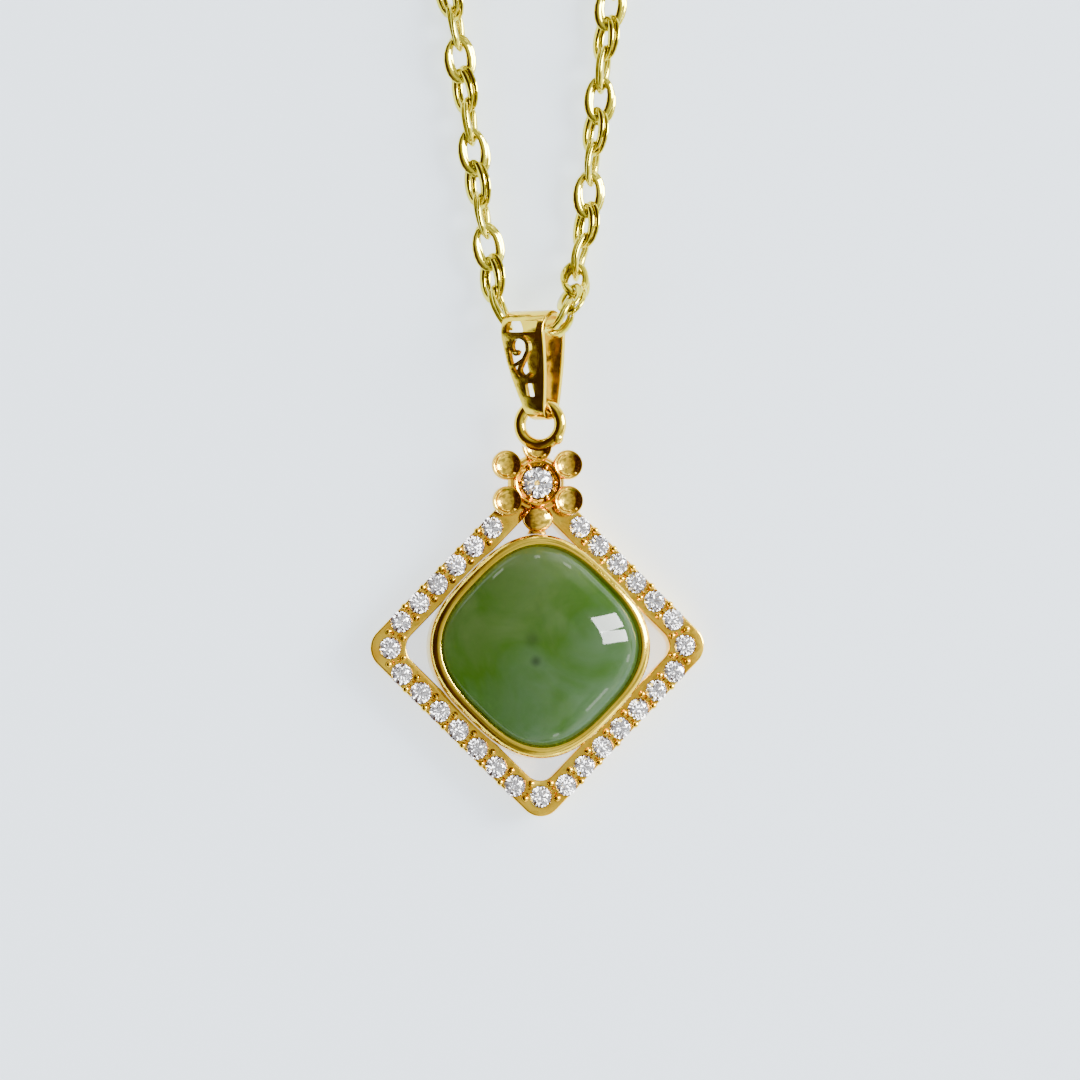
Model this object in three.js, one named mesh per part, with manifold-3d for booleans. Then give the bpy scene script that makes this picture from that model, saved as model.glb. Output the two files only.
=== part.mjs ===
// A jade pendant: a cushion cabochon in a square halo, with a flower, an openwork bail and a chain.
// Millimetres. It lies on its back: the face looks up (+Z) and the bail points to +Y.
import * as THREE from "three";
import { mergeVertices } from "three/addons/utils/BufferGeometryUtils.js";
import Module from "manifold-3d";

const wasm = await Module();
wasm.setup();

// Jade cabochon: a cushion, so its outline is a superellipse turned by an eighth of a turn
const JADE_WIDTH = 10.0;
const JADE_SQUARENESS = 2.8;
const JADE_GIRDLE = 0.7;
const JADE_DOME = 2.9;
const JADE_DOME_FULLNESS = 2.3;

// Bezel cup
const BACK_PLATE = 0.5;
const BEZEL_WALL = 0.22;
const BEZEL_TAPER = 0.19;
const BEZEL_TAPER_HEIGHT = 1.2;
const LIP_OVER_STONE = 0.35;
const LIP_THICKNESS = 0.3;
const STONE_CLEARANCE = 0.02;

// Halo frame with its stones: narrower below, and cut away for the bezel in the middle of each side
const HALO_GAP = 0.03;
const HALO_OVER_BEZEL = 0.12;
const HALO_BAND = 1.39;
const HALO_OUTER_TAPER = 0.2;
const HALO_INNER_TAPER = 0.12;
const HALO_HEIGHT = 1.7;
const HALO_EDGE = 0.1;
const HALO_OUTER_CORNER = 1.15;
const HALO_INNER_CORNER = 0.9;
const HALO_ROW_IN = 0.52;
const HALO_CORNER_STONE_IN = 0.54;
const HALO_STONES_TO_CORNER = 4;
const HALO_ZIRCON = 1.1;
const HALO_SEAT_DEPTH = 0.12;
const SEAT_CLEARANCE = 0.015;
const BEAD_PRONG = 0.3;
const BEAD_STANDS = 0.14;

// Flower on the top corner
const FLOWER_IN_FROM_CORNER = 0.32;
const FLOWER_BASE_GAP = 0.03;
const PETAL_COUNT = 6;
const PETAL_WIDTH = 1.56;
const PETAL_RADIUS = 1.86;
const PETAL_THICKNESS = 0.75;
const PETAL_DISH = 0.28;
const PETAL_RIM = 0.12;
const CUP_WIDTH = 2.5;
const CUP_HEIGHT = 0.72;
const CUP_LIP = 0.14;
const CENTRE_ZIRCON = 1.6;
const NECK_WIDTH = 0.9;
const NECK_GAP = 0.03;

// Jump ring
const RING_HOLE = 1.48;
const RING_WIRE = 0.65;
const RING_X = 0.25;
const RING_OVER_FLOWER_BASE = 0.19;
const RING_TURN = 23;
const RING_IN_PETAL = 0.2;
const RING_SOLDER_GAP = 0.02;

// Bail: a loop of strip, turned about the pendant's long axis, with its top a little raised
const BAIL_LENGTH = 5.7;
const BAIL_DEPTH = 2.4;
const BAIL_STRIP = 0.3;
const BAIL_TOP_WIDTH = 2.55;
const BAIL_TIP_WIDTH = 0.8;
const BAIL_BACK_WIDTH = 2.46;
const BAIL_RING_GAP = 0.22;
const BAIL_SLIDE = 0.02;
const BAIL_TURN = 43;
const BAIL_LEAN = 4;
const BAIL_PITCH = 8;
const BAIL_SKEW_TOP = -0.15;
const BAIL_SKEW_TIP = 0.15;

// Openings of the bail's front and the scroll in the largest
const SLOT_FROM_TOP = 0.48;
const SLOT_HIGH = 0.55;
const SLOT_BORDER = 0.38;
const OVAL_FROM_SLOT = 0.17;
const OVAL_HIGH = 2.24;
const OVAL_BORDER = 0.3;
const LOW_FROM_OVAL = 0.28;
const LOW_HIGH = 0.68;
const LOW_WIDTH = 0.56;
const SCROLL_STRIP = 0.2;
const UPPER_CURL = 0.5;
const LOWER_CURL = 0.32;

// Chain: a plain tube where it lies free, and a wound ring where it's coiled
const CHAIN_WIDTH = 1.3;
const CHAIN_SIDES = 8;
const CHAIN_FLOOR_GAP = 0.05;
const COIL_CENTRE_X = 0.3;
const COIL_CENTRE_Y = 45.6;
const COIL_OUTER = 9.4;
const COIL_INNER = 3.2;
const COIL_HEIGHT = 4.2;
const COIL_ROUND = 0.6;
const COIL_GAP = 0.1;

// Lobster clasp and end ring, on the coil
const CLASP_LENGTH = 8.0;
const CLASP_WIDTH = 3.6;
const CLASP_THICKNESS = 1.5;
const CLASP_BAR = 0.85;
const CLASP_EYE = 1.3;
const CLASP_REST_GAP = 0.05;
const END_RING_HOLE = 1.8;
const END_RING_WIRE = 0.5;

// Roundness
const OUTLINE_STEPS = 48;
const STONE_STEPS = 10;
const BEAD_STEPS = 5;
const PETAL_STEPS = 14;
const CUP_STEPS = 20;

const EIGHTH = Math.PI / 4;
const EPS = 0.02;

const goldGilt = new THREE.MeshStandardMaterial({ color: 0xd9a83a, roughness: 0.16, metalness: 1.0 });
const paleGold = new THREE.MeshStandardMaterial({ color: 0xcdb35a, roughness: 0.2, metalness: 1.0 });
const jade = new THREE.MeshStandardMaterial({ color: 0x3f8a55, roughness: 0.12, metalness: 0.0 });
const zircon = new THREE.MeshStandardMaterial({ color: 0xf2f4f7, roughness: 0.03, metalness: 0.0 });

// Booleans on plain three.js geometries

function solid(geometry) {
  const plain = geometry.clone();
  plain.deleteAttribute("normal");
  plain.deleteAttribute("uv");
  const merged = mergeVertices(plain, 1e-4);
  const mesh = new wasm.Mesh({
    numProp: 3,
    vertProperties: Float32Array.from(merged.attributes.position.array),
    triVerts: Uint32Array.from(merged.index.array),
  });
  return new wasm.Manifold(mesh);
}

function geometryOf(manifold) {
  const mesh = manifold.getMesh();
  const geometry = new THREE.BufferGeometry();
  geometry.setAttribute("position", new THREE.BufferAttribute(Float32Array.from(mesh.vertProperties), 3));
  geometry.setIndex(new THREE.BufferAttribute(Uint32Array.from(mesh.triVerts), 1));
  geometry.computeVertexNormals();
  return geometry;
}

function union(list) {
  return list.reduce((sum, next) => sum.add(next));
}

function place(geometry, x, y, z) {
  return geometry.clone().translate(x, y, z);
}

// A turned solid about Z from [radius, height] points that start and end on the axis or close on themselves
function turned(points, steps) {
  const profile = points.map(([r, z]) => new THREE.Vector2(r, z));
  return new THREE.LatheGeometry(profile, steps).rotateX(Math.PI / 2);
}

// An upright solid from an outline of [x, y] points
function upright(outline, bottom, top, holes = []) {
  const shape = new THREE.Shape(outline.map(([x, y]) => new THREE.Vector2(x, y)));
  for (const hole of holes) {
    shape.holes.push(new THREE.Path(hole.map(([x, y]) => new THREE.Vector2(x, y))));
  }
  const geometry = new THREE.ExtrudeGeometry(shape, { depth: top - bottom, bevelEnabled: false });
  return geometry.translate(0, 0, bottom);
}

// A stack of rings of points, closed by a point or a flat at each end
function stacked(rings) {
  const steps = rings[0].length;
  const positions = [];
  const faces = [];
  for (const ring of rings) {
    for (const [x, y, z] of ring) {
      positions.push(x, y, z);
    }
  }
  for (let level = 0; level + 1 < rings.length; level += 1) {
    for (let i = 0; i < steps; i += 1) {
      const next = (i + 1) % steps;
      const a = level * steps + i;
      const b = level * steps + next;
      faces.push(a, b, b + steps);
      faces.push(a, b + steps, a + steps);
    }
  }
  const last = (rings.length - 1) * steps;
  for (let i = 1; i + 1 < steps; i += 1) {
    faces.push(0, i + 1, i);
    faces.push(last, last + i, last + i + 1);
  }
  const geometry = new THREE.BufferGeometry();
  geometry.setAttribute("position", new THREE.Float32BufferAttribute(positions, 3));
  geometry.setIndex(faces);
  return geometry;
}

// Cushion outlines

function cushion(halfWidth, steps = OUTLINE_STEPS) {
  const points = [];
  for (let i = 0; i < steps; i += 1) {
    const a = (2 * Math.PI * i) / steps;
    const c = Math.abs(Math.cos(a - EIGHTH));
    const s = Math.abs(Math.sin(a - EIGHTH));
    const reach = halfWidth / Math.pow(c ** JADE_SQUARENESS + s ** JADE_SQUARENESS, 1 / JADE_SQUARENESS);
    points.push([reach * Math.cos(a), reach * Math.sin(a)]);
  }
  return points;
}

function cushionRing(halfWidth, z) {
  return cushion(halfWidth).map(([x, y]) => [x, y, z]);
}

// The cushion's reach to its corners, which point along X and Y
function cushionCorner(halfWidth) {
  return cushion(halfWidth)[0][0];
}

// A square with rounded corners, standing on a corner
function turnedSquare(halfSide, radius, cornerSteps) {
  const points = [];
  const inner = halfSide - radius;
  for (let corner = 0; corner < 4; corner += 1) {
    const middle = corner * 2 * EIGHTH;
    const cx = Math.SQRT2 * inner * Math.cos(middle);
    const cy = Math.SQRT2 * inner * Math.sin(middle);
    for (let i = 0; i <= cornerSteps; i += 1) {
      const a = middle - EIGHTH + (2 * EIGHTH * i) / cornerSteps;
      points.push([cx + radius * Math.cos(a), cy + radius * Math.sin(a)]);
    }
  }
  return points;
}

function squareRing(halfSide, radius, z) {
  return turnedSquare(halfSide, radius, 6).map(([x, y]) => [x, y, z]);
}

// Sizes that follow from the named ones
const jadeHalf = JADE_WIDTH / 2;
const girdleZ = BACK_PLATE + STONE_CLEARANCE;
const girdleTop = girdleZ + JADE_GIRDLE;
const cavityHalf = jadeHalf + STONE_CLEARANCE;
const bezelHalf = cavityHalf + BEZEL_WALL;
const lipHalf = jadeHalf - LIP_OVER_STONE;
const haloInner = bezelHalf + HALO_GAP - HALO_OVER_BEZEL;
const haloOuter = haloInner + HALO_BAND;
const haloLine = haloOuter - HALO_ROW_IN;
const haloPitch = (haloLine - HALO_CORNER_STONE_IN) / HALO_STONES_TO_CORNER;
const flowerY = haloOuter * Math.SQRT2 - HALO_OUTER_CORNER * (Math.SQRT2 - 1) - FLOWER_IN_FROM_CORNER;
const flowerBase = HALO_HEIGHT + FLOWER_BASE_GAP;
const ringMean = (RING_HOLE + RING_WIRE) / 2;
const ringOuter = RING_HOLE / 2 + RING_WIRE;
const ringZ = flowerBase + RING_OVER_FLOWER_BASE;

// The dome's height over the girdle where it has some half width
function domeHeight(half) {
  const share = half / jadeHalf;
  return JADE_DOME * Math.pow(1 - share ** JADE_DOME_FULLNESS, 1 / JADE_DOME_FULLNESS);
}

function makeJade() {
  const rings = [cushionRing(jadeHalf, girdleZ), cushionRing(jadeHalf, girdleTop)];
  const levels = 10;
  for (let i = 1; i <= levels; i += 1) {
    const a = (Math.PI / 2) * (i / (levels + 0.35));
    const half = jadeHalf * Math.cos(a) ** (2 / JADE_DOME_FULLNESS);
    rings.push(cushionRing(half, girdleTop + JADE_DOME * Math.sin(a) ** (2 / JADE_DOME_FULLNESS)));
  }
  return stacked(rings);
}

function makeBezel() {
  const stoneAtLip = girdleTop + domeHeight(lipHalf);
  const lipTop = stoneAtLip + LIP_THICKNESS * 0.5;
  const shoulder = stoneAtLip - LIP_THICKNESS * 0.6;
  const body = stacked([
    cushionRing(bezelHalf - BEZEL_TAPER, 0),
    cushionRing(bezelHalf, BEZEL_TAPER_HEIGHT),
    cushionRing(bezelHalf, shoulder),
    cushionRing(bezelHalf - 0.1, lipTop - 0.04),
    cushionRing(bezelHalf - 0.2, lipTop),
    cushionRing(lipHalf + 0.06, lipTop),
    cushionRing(lipHalf, lipTop - 0.08),
  ]);
  const hollowRings = [
    cushionRing(cavityHalf, BACK_PLATE),
    cushionRing(cavityHalf, girdleTop + STONE_CLEARANCE),
  ];
  for (let i = 1; i <= 4; i += 1) {
    const half = jadeHalf - (LIP_OVER_STONE + 0.02) * (i / 4);
    hollowRings.push(cushionRing(half + STONE_CLEARANCE, girdleTop + domeHeight(half) + STONE_CLEARANCE));
  }
  hollowRings.push(cushionRing(lipHalf, lipTop + EPS));
  return geometryOf(solid(body).subtract(solid(stacked(hollowRings))));
}

// Halo stones: a corner stone at three corners, and runs along the four sides

function onSide(along, out, side) {
  const a = side * 2 * EIGHTH + EIGHTH;
  const x = Math.cos(a) * out - Math.sin(a) * along;
  const y = Math.sin(a) * out + Math.cos(a) * along;
  return [x, y];
}

// Sides are counted from the upper right one, counter-clockwise
function haloStones() {
  const half = HALO_STONES_TO_CORNER * haloPitch;
  const list = [];
  const upperLeft = 1;
  const lowerLeft = 2;
  const lowerRight = 3;
  const upperRight = 0;
  for (let k = 6; k >= 1; k -= 1) {
    list.push(onSide(half - k * haloPitch, haloLine, upperLeft));
  }
  list.push(onSide(half, half, upperLeft));
  for (let k = 1; k <= 7; k += 1) {
    list.push(onSide(k * haloPitch - half, haloLine, lowerLeft));
  }
  list.push(onSide(half, half, lowerLeft));
  for (let k = 1; k <= 7; k += 1) {
    list.push(onSide(k * haloPitch - half, haloLine, lowerRight));
  }
  list.push(onSide(half, half, lowerRight));
  for (let k = 1; k <= 6; k += 1) {
    list.push(onSide(k * haloPitch - half, haloLine, upperRight));
  }
  return list;
}

// A round brilliant from its width, with the girdle's lower edge at z = 0
function brilliant(width) {
  const r = width / 2;
  return turned(
    [
      [0, -0.43 * width],
      [r, 0],
      [r, 0.03 * width],
      [0.57 * r, 0.17 * width],
      [0, 0.17 * width],
    ],
    STONE_STEPS,
  );
}

// The hollow that a stone sits in, open upwards by some height
function seat(width, above) {
  const r = width / 2 + SEAT_CLEARANCE;
  const depth = 0.43 * width + 2 * SEAT_CLEARANCE;
  return turned(
    [
      [0, -depth],
      [r, -SEAT_CLEARANCE],
      [r, above],
      [0, above],
    ],
    STONE_STEPS,
  );
}

const stones = haloStones();
const stoneGirdle = HALO_HEIGHT - HALO_SEAT_DEPTH;

// Beads stand in pairs in each gap between neighbours, towards the outer and the inner edge
function haloBeads() {
  const beads = [];
  const out = HALO_ZIRCON * 0.37;
  for (let i = 0; i + 1 < stones.length; i += 1) {
    const [ax, ay] = stones[i];
    const [bx, by] = stones[i + 1];
    const length = Math.hypot(bx - ax, by - ay);
    const nx = (by - ay) / length;
    const ny = -(bx - ax) / length;
    for (const way of [-1, 1]) {
      beads.push([(ax + bx) / 2 + way * out * nx, (ay + by) / 2 + way * out * ny]);
    }
  }
  return beads;
}

function bead(width, depth, height) {
  const r = width / 2;
  return turned(
    [
      [0, -depth],
      [r, -depth],
      [r, height - r * 0.7],
      [r * 0.7, height - r * 0.15],
      [0, height],
    ],
    BEAD_STEPS,
  );
}

function makeHaloFrame() {
  const body = stacked([
    squareRing(haloOuter - HALO_OUTER_TAPER, HALO_OUTER_CORNER, 0),
    squareRing(haloOuter, HALO_OUTER_CORNER, HALO_HEIGHT - HALO_EDGE),
    squareRing(haloOuter - HALO_EDGE, HALO_OUTER_CORNER - HALO_EDGE, HALO_HEIGHT),
  ]);
  const opening = stacked([
    squareRing(haloInner + HALO_INNER_TAPER, HALO_INNER_CORNER, -EPS),
    squareRing(haloInner, HALO_INNER_CORNER, HALO_HEIGHT + EPS),
  ]);
  const bezelRoom = stacked([
    cushionRing(bezelHalf + HALO_GAP, -2 * EPS),
    cushionRing(bezelHalf + HALO_GAP, HALO_HEIGHT + 2 * EPS),
  ]);
  let frame = solid(body).subtract(solid(opening)).subtract(solid(bezelRoom));
  const beads = haloBeads().map(([x, y]) => solid(place(bead(BEAD_PRONG, 0.3, BEAD_STANDS), x, y, HALO_HEIGHT)));
  frame = frame.add(union(beads));
  const seats = stones.map(([x, y]) => solid(place(seat(HALO_ZIRCON, 0.6), x, y, stoneGirdle)));
  return geometryOf(frame.subtract(union(seats)));
}

// Flower

function petalAngle(index) {
  return (2 * Math.PI * (index + 0.5)) / PETAL_COUNT;
}

function petal() {
  const r = PETAL_WIDTH / 2;
  const flat = r - PETAL_RIM;
  return turned(
    [
      [0, 0],
      [r * 0.55, 0],
      [r * 0.9, PETAL_THICKNESS * 0.35],
      [r, PETAL_THICKNESS * 0.7],
      [r - PETAL_RIM * 0.4, PETAL_THICKNESS],
      [flat, PETAL_THICKNESS],
      [flat * 0.72, PETAL_THICKNESS - PETAL_DISH * 0.62],
      [flat * 0.35, PETAL_THICKNESS - PETAL_DISH * 0.94],
      [0, PETAL_THICKNESS - PETAL_DISH],
    ],
    PETAL_STEPS,
  );
}

function centreCup() {
  const r = CUP_WIDTH / 2;
  return turned(
    [
      [0, 0],
      [r * 0.8, 0],
      [r, CUP_HEIGHT * 0.5],
      [r - 0.06, CUP_HEIGHT],
      [r - 0.06 - CUP_LIP, CUP_HEIGHT],
      [CENTRE_ZIRCON / 2 + 0.06, CUP_HEIGHT * 0.72],
      [0, CUP_HEIGHT * 0.72],
    ],
    CUP_STEPS,
  );
}

const centreGirdle = flowerBase + CUP_HEIGHT * 0.72 + 0.02;

function makeFlower() {
  const parts = [solid(place(centreCup(), 0, flowerY, flowerBase))];
  for (let i = 0; i < PETAL_COUNT; i += 1) {
    const a = petalAngle(i);
    const x = PETAL_RADIUS * Math.cos(a);
    const y = flowerY + PETAL_RADIUS * Math.sin(a);
    parts.push(solid(place(petal(), x, y, flowerBase)));
  }
  // the neck goes down between the bezel and the frame
  const neckStart = cushionCorner(bezelHalf) + NECK_GAP;
  const neckEnd = flowerY - PETAL_RADIUS;
  const half = NECK_WIDTH / 2;
  const neck = [
    [-half, neckStart],
    [half, neckStart],
    [half * 0.75, neckEnd],
    [-half * 0.75, neckEnd],
  ];
  parts.push(solid(upright(neck, flowerBase, flowerBase + 0.5)));
  let flower = union(parts);
  flower = flower.subtract(solid(place(seat(CENTRE_ZIRCON, 1), 0, flowerY, centreGirdle)));
  const prongs = [];
  for (let i = 0; i < PETAL_COUNT; i += 1) {
    const a = petalAngle(i) + Math.PI / PETAL_COUNT;
    const reach = CENTRE_ZIRCON / 2 + 0.1;
    const prong = bead(BEAD_PRONG, 0.3, 0.2);
    prongs.push(solid(place(prong, reach * Math.cos(a), flowerY + reach * Math.sin(a), centreGirdle)));
  }
  const stoneRoom = solid(place(seat(CENTRE_ZIRCON, 1), 0, flowerY, centreGirdle));
  flower = flower.add(union(prongs).subtract(stoneRoom));
  // the jump ring is soldered against the top petal
  const ringRoom = new THREE.CylinderGeometry(
    ringOuter + RING_SOLDER_GAP,
    ringOuter + RING_SOLDER_GAP,
    4,
    40,
  ).rotateX(Math.PI / 2);
  ringRoom.rotateY(ringTurn);
  return geometryOf(flower.subtract(solid(place(ringRoom, RING_X, ringY, ringZ))));
}

// The ring reaches a little into the top petal's outline, which is cut back for it
const ringY = flowerY + PETAL_RADIUS + ringOuter - RING_IN_PETAL;
const ringTurn = -THREE.MathUtils.degToRad(RING_TURN);

function makeRing() {
  const torus = new THREE.TorusGeometry(ringMean, RING_WIRE / 2, 10, 28).rotateY(ringTurn);
  return place(torus, RING_X, ringY, ringZ);
}

// Bail, made upright in its own axes: X across the strip, Y along the pendant, Z towards the front

const bailTipInner = RING_WIRE / 2 + BAIL_RING_GAP;
const bailTipOuter = bailTipInner + BAIL_STRIP;
const bailTopOuter = BAIL_DEPTH / 2;
const bailTopY = BAIL_LENGTH - bailTopOuter - bailTipOuter;

// The side outline of the loop: two round ends joined by tangents, about the ring's wire
function loopOutline(lowRadius, highRadius, steps) {
  const tilt = Math.asin((highRadius - lowRadius) / bailTopY);
  const points = [];
  for (let i = 0; i <= steps; i += 1) {
    const a = -tilt + ((Math.PI + 2 * tilt) * i) / steps;
    points.push([highRadius * Math.cos(a), bailTopY + highRadius * Math.sin(a)]);
  }
  for (let i = 0; i <= steps; i += 1) {
    const a = Math.PI + tilt + ((Math.PI - 2 * tilt) * i) / steps;
    points.push([lowRadius * Math.cos(a), lowRadius * Math.sin(a)]);
  }
  return points;
}

function acrossStrip(outline, width) {
  // the outline's first axis becomes Z and its second stays Y, and the solid's depth runs along X
  const geometry = upright(outline, -width / 2, width / 2);
  return geometry.rotateY(-Math.PI / 2);
}

// How far up the bail some height is, from 0 at the tip to 1 at the top
function bailShare(y) {
  return Math.max(0, Math.min(1, (y + bailTipOuter) / BAIL_LENGTH));
}

function bailHalfWidth(y, topWidth) {
  const swell = Math.sin((Math.PI / 2) * Math.min(1, bailShare(y) * 1.12)) ** 0.9;
  return (BAIL_TIP_WIDTH + (topWidth - BAIL_TIP_WIDTH) * swell) / 2;
}

function bailMiddle(y) {
  return BAIL_SKEW_TOP + (BAIL_SKEW_TIP - BAIL_SKEW_TOP) * (1 - bailShare(y)) ** 2;
}

// The strip's outline seen from its front, a little longer than the loop
function bailOutline(topWidth) {
  const right = [];
  const left = [];
  const steps = 9;
  for (let i = 0; i <= steps; i += 1) {
    const y = -bailTipOuter - 0.1 + ((BAIL_LENGTH + 0.2) * i) / steps;
    right.push([bailMiddle(y) + bailHalfWidth(y, topWidth), y]);
    left.push([bailMiddle(y) - bailHalfWidth(y, topWidth), y]);
  }
  return right.concat(left.reverse());
}

// A strip of even width along a bent line
function bentStrip(points, width) {
  const left = [];
  const right = [];
  for (let i = 0; i < points.length; i += 1) {
    const before = points[Math.max(0, i - 1)];
    const after = points[Math.min(points.length - 1, i + 1)];
    const dx = after[0] - before[0];
    const dy = after[1] - before[1];
    const length = Math.hypot(dx, dy);
    const nx = (-dy / length) * (width / 2);
    const ny = (dx / length) * (width / 2);
    left.push([points[i][0] + nx, points[i][1] + ny]);
    right.push([points[i][0] - nx, points[i][1] - ny]);
  }
  return right.concat(left.reverse());
}

function arcPoints(cx, cy, radius, from, to, steps) {
  const points = [];
  for (let i = 0; i <= steps; i += 1) {
    const a = from + ((to - from) * i) / steps;
    points.push([cx + radius * Math.cos(a), cy + radius * Math.sin(a)]);
  }
  return points;
}

function makeBail() {
  const outer = solid(acrossStrip(loopOutline(bailTipOuter, bailTopOuter, 12), BAIL_TOP_WIDTH + 1));
  const innerTop = bailTopOuter - BAIL_STRIP;
  const hollow = solid(acrossStrip(loopOutline(bailTipInner, innerTop, 12), BAIL_TOP_WIDTH + 2));
  const front = solid(upright(bailOutline(BAIL_TOP_WIDTH), 0, BAIL_DEPTH));
  const back = solid(upright(bailOutline(BAIL_BACK_WIDTH), -BAIL_DEPTH, 0));
  const wall = outer.subtract(hollow);
  let bail = wall.intersect(front.add(back));

  // openings of the front, from the top: a slot, an oval and a small slot
  const slotTop = BAIL_LENGTH - bailTipOuter - SLOT_FROM_TOP;
  const slotBottom = slotTop - SLOT_HIGH;
  const slotX = bailMiddle(slotTop);
  const slotHalf = bailHalfWidth(slotTop, BAIL_TOP_WIDTH) - SLOT_BORDER;
  const slot = [
    [slotX - slotHalf, slotBottom],
    [slotX + slotHalf, slotBottom],
    [slotX + slotHalf, slotTop],
    [slotX - slotHalf, slotTop],
  ];
  const ovalTop = slotBottom - OVAL_FROM_SLOT;
  const ovalY = ovalTop - OVAL_HIGH / 2;
  const ovalX = bailMiddle(ovalY);
  const ovalHalf = bailHalfWidth(ovalY, BAIL_TOP_WIDTH) - OVAL_BORDER;
  const oval = [];
  const ovalSteps = 20;
  for (let i = 0; i < ovalSteps; i += 1) {
    const a = (2 * Math.PI * i) / ovalSteps;
    const taper = 1 + 0.12 * Math.sin(a);
    const c = Math.cos(a);
    const s = Math.sin(a);
    oval.push([
      ovalX + Math.sign(c) * Math.abs(c) ** 0.8 * ovalHalf * taper,
      ovalY + Math.sign(s) * Math.abs(s) ** 0.8 * (OVAL_HIGH / 2),
    ]);
  }
  const lowTop = ovalTop - OVAL_HIGH - LOW_FROM_OVAL;
  const lowBottom = lowTop - LOW_HIGH;
  const lowX = bailMiddle(lowBottom);
  const low = [
    [lowX - LOW_WIDTH * 0.4, lowBottom],
    [lowX + LOW_WIDTH * 0.4, lowBottom],
    [lowX + LOW_WIDTH * 0.5, lowTop],
    [lowX - LOW_WIDTH * 0.5, lowTop],
  ];
  for (const opening of [slot, oval, low]) {
    bail = bail.subtract(solid(upright(opening, 0.02, BAIL_DEPTH)));
  }
  for (const strip of scroll(ovalX, ovalTop)) {
    bail = bail.add(wall.intersect(solid(upright(strip, 0.02, BAIL_DEPTH))).intersect(front));
  }
  return geometryOf(bail);
}

// The scroll: an upper curl with a tail, a bar that falls to the left, a lower curl, and a strut to the border
function scroll(x, top) {
  const upper = [x - 0.25, top - UPPER_CURL - SCROLL_STRIP * 0.4];
  const lower = [x - 0.1, top - OVAL_HIGH + LOWER_CURL + SCROLL_STRIP * 0.4];
  const upperCurl = arcPoints(...upper, UPPER_CURL, 1.2 * Math.PI, -0.17 * Math.PI, 14);
  const lowerCurl = arcPoints(...lower, LOWER_CURL, 0.85 * Math.PI, 1.85 * Math.PI, 9);
  const tailStart = upperCurl[0];
  const bar = [upperCurl[upperCurl.length - 1], lowerCurl[0]];
  const barMiddle = [(bar[0][0] + bar[1][0]) / 2, (bar[0][1] + bar[1][1]) / 2];
  const lines = [
    upperCurl,
    [tailStart, [tailStart[0] + 0.15, tailStart[1] - 0.1], [tailStart[0] + 0.27, tailStart[1] + 0.08]],
    bar,
    lowerCurl,
    [barMiddle, [x - 0.95, barMiddle[1] - 0.45]],
  ];
  return lines.map((line) => bentStrip(line, SCROLL_STRIP));
}

// The bail hangs on the ring's far side
const bailPivot = new THREE.Vector3(RING_X + BAIL_SLIDE, ringY + ringMean, ringZ);
const bailMatrix = new THREE.Matrix4()
  .makeTranslation(bailPivot.x, bailPivot.y, bailPivot.z)
  .multiply(new THREE.Matrix4().makeRotationZ(THREE.MathUtils.degToRad(BAIL_LEAN)))
  .multiply(new THREE.Matrix4().makeRotationX(THREE.MathUtils.degToRad(BAIL_PITCH)))
  .multiply(new THREE.Matrix4().makeRotationY(THREE.MathUtils.degToRad(-BAIL_TURN)));

function inBail(x, y, z) {
  return new THREE.Vector3(x, y, z).applyMatrix4(bailMatrix);
}

// Chain

// the highest that the tube can lie under the bail's top
const chainInBailY = bailTopY + (bailTopOuter - BAIL_STRIP - CHAIN_WIDTH / 2) * 0.3;
const mouth = BAIL_TOP_WIDTH / 2;
const chainFloorZ = CHAIN_WIDTH / 2 + CHAIN_FLOOR_GAP;

// where a strand at some x meets the coil
function coilEdge(x) {
  const aside = Math.abs(x - COIL_CENTRE_X) - CHAIN_WIDTH / 2;
  return COIL_CENTRE_Y - Math.sqrt((COIL_OUTER + COIL_GAP) ** 2 - aside ** 2);
}

const leftStrand = [
  [-4.3, coilEdge(-4.3)],
  [-3.86, 33.44],
  [-3.41, 30.15],
  [-2.96, 27.17],
  [-2.53, 23.3],
  [-2.03, 20.22],
  [-1.88, 18.6],
];
const rightStrand = [
  [2.62, 20.24],
  [3.07, 21.91],
  [3.41, 25.21],
  [3.92, 28.52],
  [4.31, 31.83],
  [4.72, 34.1],
  [5.0, coilEdge(5.0)],
];

function makeChainTube() {
  const points = leftStrand.map(([x, y]) => new THREE.Vector3(x, y, chainFloorZ));
  points.push(inBail(-mouth - 0.8, chainInBailY + 0.7, 0));
  points.push(inBail(-mouth, chainInBailY + 0.02, 0));
  points.push(inBail(0, chainInBailY - 0.05, 0));
  points.push(inBail(mouth, chainInBailY + 0.02, 0));
  points.push(inBail(mouth + 0.65, chainInBailY + 0.8, -0.5));
  points.push(new THREE.Vector3(2.3, 18.9, 1.5));
  for (const [x, y] of rightStrand) {
    points.push(new THREE.Vector3(x, y, chainFloorZ));
  }
  const curve = new THREE.CatmullRomCurve3(points, false, "centripetal");
  const ring = [];
  for (let i = 0; i < CHAIN_SIDES; i += 1) {
    const a = (2 * Math.PI * i) / CHAIN_SIDES;
    ring.push(new THREE.Vector2((CHAIN_WIDTH / 2) * Math.cos(a), (CHAIN_WIDTH / 2) * Math.sin(a)));
  }
  return new THREE.ExtrudeGeometry(new THREE.Shape(ring), {
    steps: 72,
    bevelEnabled: false,
    extrudePath: curve,
  });
}

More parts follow.
